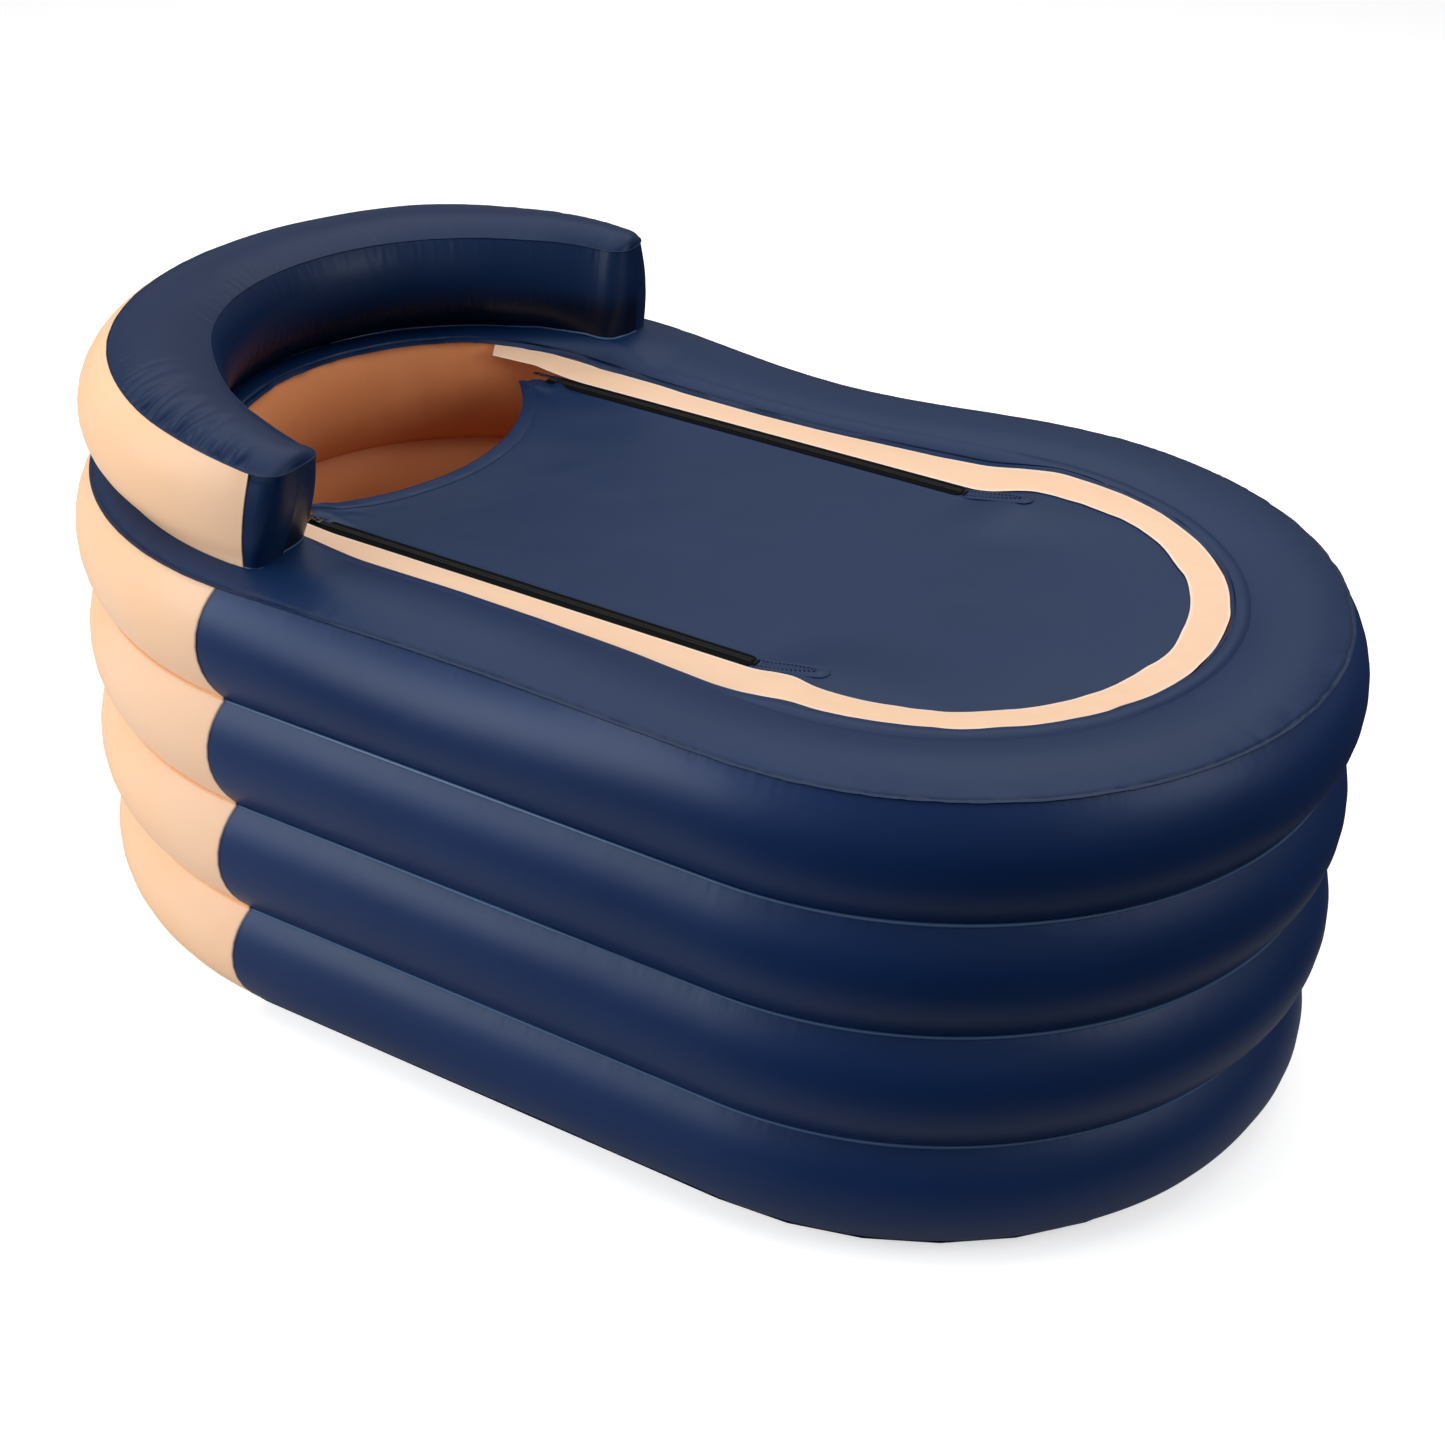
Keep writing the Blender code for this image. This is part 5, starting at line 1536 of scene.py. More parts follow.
    def back_skin(self, finishes: Finishes) -> None:
        """Make the peach skin on the cushion's back."""
        rows = [Row(0, share, 0.0, math.exp(-(1 - share) / 0.09) + 0.4 * math.exp(-share / 0.08))
                for share in 0.5 - 0.5 * np.cos(np.linspace(0.0, np.pi, 18))]
        rows += [Row(0, share, -SKIN) for share in (0.99, 0.75, 0.5, 0.25, 0.01)]
        section = Section(rows)
        tube = Tube("backrest_back_skin", len(rows), 400, False, 7)
        centre, angle, at = self.plan.round_head(0.0).spread(tube.columns)
        radius, height = section.lay(self.runs(angle), len(centre))
        tube.lay(self.leant(self.plan.place(centre[:, None], angle[:, None], radius, height), angle, height))
        crumple = Crumple(43, self.plan.period)
        way = self.plan.way(centre, angle)[:, None]
        near = np.exp(-(1 - section.share) / 0.10)[None, :]
        slow = 0.0010 * crumple.ripple(way, height, 0.16, 0.07)
        depth = (1 - section.share[None, :]) * self.side_length
        ends = (-self.plan.period / 2, self.plan.period / 2)
        puckers = 0.0006 * crumple.pulls(way, depth, ends, 0.016, 0.018, 0.003)
        puckers = puckers * (1 - np.exp(-depth / 0.004))
        fold = -0.0016 * np.exp(-((section.share[None, :] - 0.10) / 0.035) ** 2)
        fold = fold * (0.7 + 0.3 * crumple.ripple(way, 0.0, 0.05, 1.0))
        relief = slow * (1 - near) + puckers + fold
        tube.lift(np.where(section.out >= 0, relief + 0.0004, np.maximum(-relief, 0.0) + 0.0004))
        tube.mark("pucker", section.pucker)
        tube.unwrap(at, section.across(radius, height))
        skin = tube.finish(finishes.back_peach)
        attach(skin, Body.TUB.value)
        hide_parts("backrest_back_skin")

    def build(self, finishes: Finishes) -> None:
        """Make the cushion, its back skin and its seam edges."""
        self.cushion(finishes)
        self.back_skin(finishes)
        LOG.info("backrest: cushion, back skin and seam edges")


@dataclass
class Cover:
    """The band along the rim, the navy cover that zips to it, and the hem of its front edge."""

    plan: Plan
    rim: Rim
    top_z: float = 0.5701
    trim_z: float = 0.5704
    fold_x: float = 0.2350
    fold_reach: float = 0.0200
    zip_y: float = 0.2425
    zip_head_x: float = -0.3650
    zip_edge_y: float = 0.2557
    flap_edge_y: float = 0.2385
    corner: tuple[float, float] = (-0.3930, 0.2150)
    hollow_x: float = -0.3010
    band_foot_r: float = 0.2775
    band_head_width: float = 0.0260
    foot_rise: float = 0.0130
    lap: float = 0.0060
    sag: float = 0.0030

    def rise(self, x: Array, y: Array) -> Array:
        """How far the cover climbs to the rim's level past the zips, the sides before the middle."""
        side = ease((np.abs(y) - 0.13) / 0.11)
        along = x - self.fold_x
        return self.foot_rise * (ease(along / 0.085) * side + ease(along / 0.26) * (1 - side))

    def band(self, finishes: Finishes) -> bpy.types.Object:
        """Make the peach band between the rim and the cover.

        Args:
            finishes: The tub's finishes.

        Returns:
            The piece.
        """
        rows = [Row(0, share, 0.0, 0.6 - 0.4 * math.sin(math.pi * share))
                for share in np.linspace(0.0, 1.0, 12)]
        rows += [Row(0, share, -0.0009) for share in (0.985, 0.5, 0.015)]
        section = Section(rows)
        tube = Tube("band", len(rows), 760, False, 7)
        half, turn = self.plan.straight_half, math.pi / 2
        near, far = math.radians(34.8), math.radians(28.5)
        course = Course(self.plan, [(-half, -turn - near), (-half, -turn), (half, -turn), (half, turn),
                                    (-half, turn), (-half, turn + far)], False)
        centre, angle, at = course.spread(tube.columns)
        way = self.plan.way(centre, angle)
        crumple = Crumple(51, self.plan.period)
        edge_r, edge_z = self.rim.edge(centre, angle)
        pull = self.rim.pull(centre, angle)
        along_zip = np.minimum((self.zip_edge_y + GAP) / np.abs(np.sin(angle)).clip(0.2),
                               edge_r - self.band_head_width)
        turned = np.abs(half_turn(angle))
        foot = 0.72 * ease((centre + 0.10 * (np.pi / 2 - turned) - self.fold_x - 0.026) / 0.070)
        foot = np.where(centre < half - TINY, foot, foot + 0.28 * ease((np.pi / 2 - turned) / 1.2))
        inner_r = along_zip + (self.band_foot_r - along_zip) * foot
        uneven = crumple.ripples(way, 0.0, (0.0032, 0.085, 1.0), (0.0010, 0.030, 1.0))
        inner_r = inner_r + uneven * ease(foot / 0.5)
        inner_z = (self.trim_z + SKIN) * pull + edge_z * (1.0 - pull)
        inner_z = inner_z + self.rise(centre + inner_r * np.cos(angle), inner_r * np.sin(angle))
        outer_r = edge_r - GAP + 0.0010 * crumple.ripple(way, 0.0, 0.040, 1.0)
        radius, height = section.lay([(outer_r, edge_z + 0.0002, inner_r, inner_z, 0.0008)], len(centre))
        tube.lay(self.plan.place(centre[:, None], angle[:, None], radius, height))
        way = way[:, None]
        loose = ease((np.abs(way) - 1.30) / 0.25)
        top = (section.out >= 0)[None, :] * np.sin(np.pi * np.clip(section.share, 0.06, 0.94))[None, :]
        relief = crumple.ripples(way, radius, (0.0007, 0.060, 0.03), (0.0005, 0.026, 0.02))
        relief = relief + 0.0022 * loose * crumple.ripple(way, radius, 0.035, 0.02)
        tube.lift(relief * top + 0.0003 * top)
        tube.mark("pucker", section.pucker * 0.7)
        # lip mark: painted highlight along the band's two edges.
        by_edge = ease((np.abs(section.share - 0.5) - 0.43) / 0.05)
        tube.mark("lip", np.where(section.out < 0, 0.0, 0.7 * by_edge))
        tube.unwrap(at, section.across(radius, height))
        band = tube.finish(finishes.band_peach)
        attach(band, Body.TUB.value)
        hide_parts("cover_band")
        steps = np.hypot(np.diff(centre), np.diff(angle) * (edge_r[1:] + inner_r[1:]) / 2)
        width = np.hypot(outer_r - inner_r, edge_z - inner_z)
        return band

    @property
    def front_r(self) -> float:
        """Radius of the hollow front edge."""
        sagitta = self.hollow_x - self.corner[0]
        return (self.corner[1] ** 2 + sagitta ** 2) / (2 * sagitta)

    def front_x(self, y: Array) -> Array:
        """The hollow front edge, slanted back to the zip heads at its corners."""
        radius = self.front_r
        arc = self.hollow_x - radius + np.sqrt(radius ** 2 - np.minimum(np.abs(y), self.corner[1]) ** 2)
        past = clip((np.abs(y) - self.corner[1]) / (self.flap_edge_y - self.corner[1]))
        return arc + (self.zip_head_x - self.corner[0]) * past

    def relief(self, x: Array, y: Array) -> Array:
        """How far the cover stands above its plane at a place.

        Args:
            x: Places along the tub.
            y: Places across it.

        Returns:
            Heights in metres.
        """
        crumple = Crumple(61, self.plan.period)
        across = clip(1 - (y / self.flap_edge_y) ** 2)
        foot_x = self.plan.straight_half + self.band_foot_r - 0.01
        ends = ease((x - self.front_x(y)) / 0.10) * ease((foot_x - x) / 0.14)
        sag = self.rise(x, y) - self.sag * across * ends
        broad = 0.0012 * crumple.ripple(x, y, 0.21, 0.13) * across * ease((0.50 - x) / 0.1)
        broad = broad + 0.0005 * crumple.ripple(x + y, y - x, 0.09, 0.06) * across * ease((0.50 - x) / 0.1)
        distance = np.hypot(x - self.zip_head_x - 0.004, np.abs(y) - self.flap_edge_y + 0.012)
        close = np.exp(-(distance / 0.034) ** 2)
        folds = (0.0030 * crumple.ripple(x * 0.6 + np.abs(y), x, 0.014, 0.03)
                 + 0.0016 * crumple.ripple(x, y, 0.011, 0.011) + 0.0022) * close
        rays = 0.0008 * crumple.ripple(np.arctan2(np.abs(y) - 0.23, x + 0.37) * 0.10, distance, 0.013, 0.12)
        return sag + broad + folds + rays * np.exp(-distance / 0.07) * across.clip(0.2)

    def sheet(self, finishes: Finishes) -> bpy.types.Object:
        """Make the cover's sheet, from its hollow front edge to its lap under the band.

        Args:
            finishes: The tub's finishes.

        Returns:
            The piece.
        """
        Bench.clear()
        bpy.ops.mesh.primitive_grid_add(x_subdivisions=220, y_subdivisions=104, size=2.0)
        piece = Bench.take("cover")
        points = Bench.points(piece)
        along = ((points[:, 0] + 1) / 2) ** 1.15
        across = np.sin(points[:, 1] * np.pi / 2)
        wide = self.band_foot_r + self.lap
        back = self.plan.straight_half + wide * np.sqrt(np.maximum(1 - across ** 2, 0.0))
        x = self.front_x(across * self.flap_edge_y)
        x = x + (back - x) * along
        edge_x = self.zip_head_x + (self.plan.straight_half - self.zip_head_x) * along
        widen = ease((edge_x - self.fold_x + 0.009) / 0.009)
        y = across * (self.flap_edge_y + (wide - self.flap_edge_y) * widen)
        base = self.top_z + self.rise(x, y)
        height = base + (self.top_z + self.relief(x, y) - base) * ease((wide - np.abs(y)) / 0.02)
        under = (ease((np.abs(y) - self.flap_edge_y + 0.014) / 0.006)
                 * ease((x - self.zip_head_x - 0.03) / 0.02))
        height = height * (1 - under) + base * under
        distance = np.hypot(x - self.zip_head_x, np.abs(y) - self.flap_edge_y)
        mark = piece.data.attributes.new("pucker", "FLOAT", "POINT")
        mark.data.foreach_set("value", np.exp(-distance / 0.03))
        layer, corners = Bench.film_map(piece)
        layer.uv.foreach_set("vector", np.stack([x[corners], y[corners]], axis=-1).ravel())
        Bench.put(piece, np.stack([x, y, height], axis=-1))
        Bench.modify(piece, "SOLIDIFY", thickness=SKIN, offset=-1.0)
        Bench.close(piece)
        Bench.smooth(piece)
        piece.data.materials.append(finishes.cover_navy)
        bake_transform(piece)
        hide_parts("cover_foot_panel", "cover_flap")
        return piece

    def hem(self, finishes: Finishes) -> bpy.types.Object:
        """Make the folded hem along the hollow front edge.

        Args:
            finishes: The tub's finishes.

        Returns:
            The piece.
        """
        outline = np.array([(0.0200, 0.0000), (0.0202, 0.0003), (0.0198, 0.0005), (0.0184, 0.0006),
                            (0.0176, 0.0003), (0.0168, 0.0006), (0.0140, 0.0008), (0.0100, 0.0009),
                            (0.0060, 0.0009), (0.0025, 0.0009), (0.0006, 0.0008), (-0.0006, 0.0004),
                            (-0.0010, -0.0004), (-0.0007, -0.0012), (-0.0002, -0.0011), (-0.0001, 0.0001),
                            (0.0060, 0.0001), (0.0140, 0.0000)])
        tube = Tube("cover_hem", len(outline), 160, False, 4)
        radius = self.front_r
        reach = math.asin(self.corner[1] / radius)
        turn = np.linspace(-reach, reach, tube.columns + 1)[:, None]
        crumple = Crumple(62, self.plan.period)
        narrow = 1 - 0.55 * ease(1 - (reach - np.abs(turn)) / (reach * 0.16))
        offset = outline[:, 0][None, :] * narrow + 0.0005 * crumple.ripple(turn * radius, 0.0, 0.04, 1.0)
        x = self.hollow_x - radius + (radius + offset) * np.cos(turn)
        y = (radius + offset) * np.sin(turn)
        wave = 0.0004 * crumple.ripple(turn * radius, outline[:, 0][None, :], 0.03, 0.02)
        height = (self.trim_z + outline[:, 1][None, :] + self.relief(x, y)
                  + wave * (outline[:, 1] > 0.0005)[None, :])
        tube.lay(np.stack([x, y, height], axis=-1))
        tube.mark("pucker", np.array(0.5))
        tube.unwrap((turn * radius)[:, 0], outline[:, 0])
        hem = tube.finish(finishes.cover_navy)
        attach(hem, Body.COVER.value)
        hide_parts("cover_hem")
        return hem

    def build(self, finishes: Finishes) -> None:
        """Make the band, the sheet and the hem."""
        self.band(finishes)
        sheet = self.sheet(finishes)
        hem = self.hem(finishes)
        LOG.info("cover: band, sheet and hem")


@dataclass
class Zip:
    """One zip beside the flap: two tapes with coils, foot stop, end tab, slider and pull."""

    label: str
    side: int
    cover: Cover
    space: float = 0.0014
    coil_width: float = 0.0033
    coil_top_z: float = 0.5726
    pull_axis_z: float = 0.57495
    tape_width: float = 0.0125
    tip: float = 0.0110
    pitch: float = 0.0017
    tab_length: float = 0.0850
    tab_width: float = 0.0250

    def tape(self, way: int, body: Body, low_x: float, high_x: float, finishes: Finishes) -> None:
        """Make one tape.

        Args:
            way: 1 for the tape towards the rim, -1 for the one towards the flap.
            body: The body that it rides on.
            low_x: Its head end.
            high_x: Its foot end.
            finishes: The tub's finishes.
        """
        base, top = self.cover.trim_z, SKIN
        width = self.tape_width - (0.0022 if way < 0 else 0.0)
        near, coil, far = self.space / 2, self.space / 2 + self.coil_width, self.space / 2 + width
        outline = np.array([(near + 0.0004, 0.0), (far - 0.0003, 0.0), (far, 0.0004), (far - 0.0003, 0.0008),
                            (far - 0.0030, top), (far - 0.0034, top - 0.00025), (far - 0.0038, top),
                            (coil + 0.0022, top), (coil + 0.0004, top - 0.0001), (coil, top + 0.0002),
                            (coil - 0.0004, top + 0.0007), (near + 0.0004, top + 0.0007),
                            (near + 0.0001, top), (near + 0.0001, 0.0004)])
        name = "zip_%s_tape_%s" % ("rim" if way > 0 else "flap", self.label)
        tube = Tube(name, len(outline), 180, False, 4)
        at = np.linspace(low_x, high_x, tube.columns + 1)[:, None]
        crumple = Crumple(70 + way, self.cover.plan.period)
        edge = clip((outline[:, 0] - coil) / self.tape_width)[None, :]
        tip = np.sqrt(np.maximum(1 - clip((at - high_x + self.tip) / self.tip) ** 2, 0.0)) - 1
        drift = (0.0006 * crumple.ripple(at, 0.0, 0.035, 1.0) * edge
                 + tip * 0.7 * (outline[:, 0] - coil).clip(0))
        wave = 0.0004 * crumple.ripple(at, 0.0, 0.024, 1.0) * edge * (outline[:, 1] > 0.0003)[None, :]
        y = self.side * (self.cover.zip_y + way * (outline[:, 0][None, :] + drift))
        z = base + outline[:, 1][None, :] + np.maximum(wave, 0)
        tube.lay(np.stack([np.broadcast_to(at, y.shape), y, z], axis=-1))
        tube.unwrap(at[:, 0], outline[:, 0])
        tape = tube.finish(finishes.tape_black, 40.0)
        teeth = self.teeth(way, low_x, high_x, finishes)
        for piece in (tape, teeth):
            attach(piece, body.value)
        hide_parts(name)

    def teeth(self, way: int, low_x: float, high_x: float, finishes: Finishes) -> bpy.types.Object:
        """Make one side's row of coil loops.

        Args:
            way: 1 for the side towards the rim, -1 towards the flap.
            low_x: Head end of the tape.
            high_x: Foot end of the tape.
            finishes: The tub's finishes.

        Returns:
            The piece.
        """
        near, coil = self.space / 2 - 0.0004, self.space / 2 + self.coil_width - 0.0002
        low_z = self.cover.trim_z + SKIN + 0.0004
        start = low_x + 0.0020 + (self.pitch / 2 if way > 0 else 0.0)
        middle_y = self.side * (self.cover.zip_y + way * (near + coil) / 2)
        tooth = Bench.block("zip_%s_coil_%s" % ("rim" if way > 0 else "flap", self.label),
                            (self.pitch * 0.55, coil - near, self.coil_top_z - low_z),
                            (start, middle_y, (low_z + self.coil_top_z) / 2))
        Bench.edit(tooth, "VERT")
        bpy.ops.mesh.select_all(action="SELECT")
        bpy.ops.mesh.bevel(offset=0.00028, segments=1, affect="EDGES")
        Bench.done()
        count = int((high_x - 0.001 - start) / self.pitch)
        Bench.modify(tooth, "ARRAY", count=count, use_relative_offset=False, use_constant_offset=True,
                     constant_offset_displace=(self.pitch, 0.0, 0.0))
        Bench.smooth(tooth, 60.0)
        tooth.data.materials.append(finishes.coil_black)
        return tooth

    def plate(self, name: str, low: Sequence[float], high: Sequence[float], taper: float, bevel: float,
              material: bpy.types.Material) -> bpy.types.Object:
        """Make a small metal plate with rounded edges, narrower at its head end.

        Args:
            name: Name of the piece.
            low: Its lowest corner.
            high: Its highest corner.
            taper: Share of its width at the head end.
            bevel: Width of its rounded edges.
            material: Its finish.

        Returns:
            The piece.
        """
        middle = [(a + b) / 2 for a, b in zip(low, high)]
        piece = Bench.block(name, [b - a for a, b in zip(low, high)], middle)
        Bench.edit(piece, "VERT", np.array([vertex.co.x < middle[0] for vertex in piece.data.vertices]))
        bpy.ops.transform.resize(value=(1.0, taper, 1.0), center_override=middle)
        Bench.done()
        Bench.modify(piece, "BEVEL", width=bevel, segments=3, limit_method="ANGLE")
        Bench.close(piece)
        Bench.smooth(piece)
        piece.data.materials.append(material)
        return piece

    def slider(self, finishes: Finishes) -> None:
        """Make the slider with its bridge, and the pull that hangs on it."""
        y, low_x, length = self.side * self.cover.zip_y, self.cover.zip_head_x + 0.0020, 0.0140
        top = self.coil_top_z + GAP
        half = self.space / 2 + self.coil_width + 0.0012
        under = self.cover.top_z - SKIN - GAP
        body = self.plate("slider_body", (low_x, y - half, top), (low_x + length, y + half, top + 0.0013),
                          0.78, 0.0005, finishes.zip_metal)
        inner, outer = y - self.side * 0.0065, y + self.side * 0.0004
        foot = self.plate("slider_foot", (low_x, min(inner, outer), under - 0.0012),
                          (low_x + length, max(inner, outer), under), 0.9, 0.0004, finishes.zip_metal)
        post = self.plate("slider_post", (low_x, y - 0.0004, under - 0.0006),
                          (low_x + 0.0050, y + 0.0004, top + 0.0006), 1.0, 0.0001, finishes.zip_metal)
        bridge = Tube("slider_bridge", 8, 20, False)
        turn = np.linspace(0, np.pi, bridge.columns + 1)[:, None]
        corner = 2 * np.pi * (np.arange(8) + 0.5) / 8
        radial = 0.00045 * np.sign(np.cos(corner)) * np.abs(np.cos(corner)) ** 0.5
        wide = 0.0010 * np.sin(corner)
        middle_x = low_x + length / 2
        reach = 0.0030
        bridge.lay(np.stack([middle_x - (reach + radial) * np.cos(turn),
                             np.broadcast_to(y + wide, (bridge.columns + 1, 8)),
                             top + 0.0010 + (0.0022 + radial) * np.sin(turn)], axis=-1))
        arch = bridge.finish(finishes.zip_metal, 50.0)
        slider = Bench.join("zip_slider_" + self.label, [body, foot, post, arch])
        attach(slider, "slider_" + self.label)
        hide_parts("zip_slider_" + self.label)
        self.pull(middle_x, y, finishes)

    def pull(self, x: float, y: float, finishes: Finishes) -> None:
        """Make the pull tab.

        Args:
            x: Place of its axis along the tub.
            y: Place of its axis across it.
            finishes: The tub's finishes.
        """
        axis_z = self.pull_axis_z
        tab = self.plate("zip_pull_" + self.label, (x - 0.0320, y - 0.0040, axis_z - 0.00050),
                         (x + 0.0005, y + 0.0040, axis_z + 0.00050), 0.80, 0.00035, finishes.zip_metal)
        for offset, radius, length in ((-0.0031, 0.0017, 1.5), (-0.0240, 0.0022, 1.0)):
            Bench.clear()
            bpy.ops.mesh.primitive_cylinder_add(vertices=24, radius=radius, depth=0.006,
                                                location=(x + offset, y, axis_z))
            hole = Bench.take("pull_hole")
            Bench.edit(hole, "VERT")
            bpy.ops.transform.resize(value=(length, 1.0, 1.0), center_override=(x + offset, y, axis_z))
            Bench.done()
            Bench.modify(tab, "BOOLEAN", object=hole, operation="DIFFERENCE", solver="EXACT")
            bpy.data.objects.remove(hole)
        Bench.smooth(tab)
        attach(tab, "pull_" + self.label)
        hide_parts("zip_pull_" + self.label)

    def stop(self, finishes: Finishes) -> None:
        """Make the foot stop."""
        x, y = self.cover.fold_x + GAP, self.side * self.cover.zip_y
        stop = self.plate("zip_stop_" + self.label, (x, y - 0.0050, self.cover.trim_z),
                          (x + 0.0040, y + 0.0050, self.coil_top_z), 0.92, 0.0006, finishes.stop_metal)
        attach(stop, Body.TUB.value)
        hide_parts("zip_stop_" + self.label)

    def tab(self, finishes: Finishes) -> None:
        """Make the stitched tab past the zip's foot end."""
        x, y = self.cover.fold_x + GAP + 0.0040 + GAP, self.side * self.cover.zip_y
        half, base = self.tab_width / 2, self.cover.trim_z
        outline = np.array([(half - 0.0004, 0.0), (half, 0.0004), (half - 0.0003, 0.0008),
                            (half - 0.0010, 0.0010), (half - 0.0034, 0.0010),
                            (half - 0.0040, 0.0007), (half - 0.0046, 0.0010),
                            (0.0030, 0.0010), (0.0008, 0.0010), (0.0, 0.0010), (0.0, 0.0), (0.0030, 0.0)])
        tube = Tube("zip_end_tab_" + self.label, len(outline), 96, True)
        turn = 2 * np.pi * (np.arange(96)[:, None] + 0.5) / 96
        cos, sin = np.cos(turn), np.sin(turn)
        power = np.where(cos > 0, 1.0, 0.30)
        reach, spine = outline[:, 0][None, :], (self.tab_length - 2 * half) / 2
        place_x = x + self.tab_length / 2 + np.sign(cos) * (spine + reach * np.abs(cos) ** power)
        place_y = y + reach * np.sign(sin) * np.abs(sin) ** power
        place_z = base + outline[:, 1][None, :] + self.cover.rise(place_x, place_y)
        tube.lay(np.stack([place_x, place_y, place_z], axis=-1))
        tube.drop([len(outline) - 3, len(outline) - 2])
        tab = tube.finish(finishes.tab_navy, 50.0, WIDE_MERGE)
        Bench.hold(tab)
        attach(tab, Body.TUB.value)
        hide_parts("zip_end_tab_" + self.label)
        rows = [self.stitches(x - 0.002, y + offset, base + 0.0010, finishes) for offset in (-0.0062, 0.0062)]
        thread = Bench.join("tab_stitches_" + self.label, rows)
        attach(thread, Body.TUB.value)

    def stitches(self, x: float, y: float, z: float, finishes: Finishes) -> bpy.types.Object:
        """Make a row of stitches along the tub.

        Args:
            x: Its head end.
            y: Its place across the tub.
            z: Height of the sheet that it lies on.
            finishes: The tub's finishes.

        Returns:
            The row.
        """
        Bench.clear()
        bpy.ops.mesh.primitive_uv_sphere_add(segments=10, ring_count=6, radius=0.5)
        row = Bench.take("stitch_row")
        Bench.edit(row, "VERT")
        bpy.ops.transform.resize(value=(0.0028, 0.0018, 0.0013))
        bpy.ops.transform.rotate(value=0.30, orient_axis="Z", center_override=(0.0, 0.0, 0.0))
        bpy.ops.transform.translate(value=(x, y, z + 0.0001))
        Bench.done()
        Bench.modify(row, "ARRAY", count=15, use_relative_offset=False, use_constant_offset=True,
                     constant_offset_displace=(0.0050, 0.0, 0.0))
        points = Bench.points(row)
        middle = self.side * self.cover.zip_y
        close = 1 - 0.9 * clip((points[:, 0] - x - 0.030) / 0.045) ** 2
        points[:, 1] = middle + (points[:, 1] - middle) * close
        points[:, 2] += self.cover.rise(points[:, 0], points[:, 1])
        Bench.put(row, points)
        Bench.smooth(row, 60.0)
        row.data.materials.append(finishes.thread)
        return row

    def build(self, finishes: Finishes) -> None:
        """Make every piece of the zip."""
        head, fold = self.cover.zip_head_x, self.cover.fold_x
        self.tape(1, Body.TUB, head, fold, finishes)
        self.tape(-1, Body.COVER, head, fold - GAP / 2, finishes)
        self.stop(finishes)
        self.tab(finishes)
        self.slider(finishes)
        LOG.info("zip: %s", self.label)


@dataclass
class FloorCushion:
    """The inflated floor, welded in channels that follow the plan."""

    plan: Plan
    radius: float = 0.2980
    base_z: float = 0.0013
    weld_z: float = 0.0233
    crown: float = 0.0260
    side_bulge: float = 0.0090
    channels: int = 3

    def build(self, finishes: Finishes) -> None:
        """Make the cushion."""
        rows = [Row(0, 0.0)] + Section.spread(1, 6, 0.0, 1.0)
        for channel in range(self.channels):
            shares = 0.5 - 0.5 * np.cos(np.linspace(0.15, np.pi - 0.15, 11))
            rows += [Row(2 + channel, share, 0.0, math.exp(-min(share, 1 - share) / 0.12))
                     for share in shares]
        rows.append(Row(2 + self.channels, 0.0))
        section = Section(rows)
        tube = Tube("floor_cushion", len(rows), 320, True, 4)
        centre, angle, at = self.plan.loop().spread(tube.columns)
        width = self.radius / self.channels
        runs = [(0.0, self.base_z, 0.001, self.base_z, 0.0),
                (self.radius, self.base_z, self.radius, self.weld_z, self.side_bulge)]
        for channel in range(self.channels, 0, -1):
            runs.append((channel * width, self.weld_z, (channel - 1) * width, self.weld_z, self.crown))
        runs.append((0.0, self.weld_z, 0.001, self.weld_z, 0.0))
        radius, height = section.lay(runs, len(centre))
        crumple = Crumple(81, self.plan.period)
        way = self.plan.way(centre, angle)[:, None]
        puff = (0.0012 * crumple.ripple(way, radius, 0.12, 0.09)
                - 0.0016 * crumple.pleat(way, radius, 0.05, 0.06) * section.pucker[None, :])
        height = height + puff * ((section.run > 1) & (section.run < 2 + self.channels))[None, :]
        tube.lay(self.plan.place(centre[:, None], angle[:, None], radius, height))
        tube.mark("pucker", section.pucker)
        tube.unwrap(at, section.across(radius, height), self.plan.period)
        tube.drop([0, len(rows) - 1])
        cushion = tube.finish(finishes.floor_peach, 35.0, WIDE_MERGE)
        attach(cushion, Body.TUB.value)
        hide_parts("floor_cushion")
        LOG.info("floor: inflated cushion")


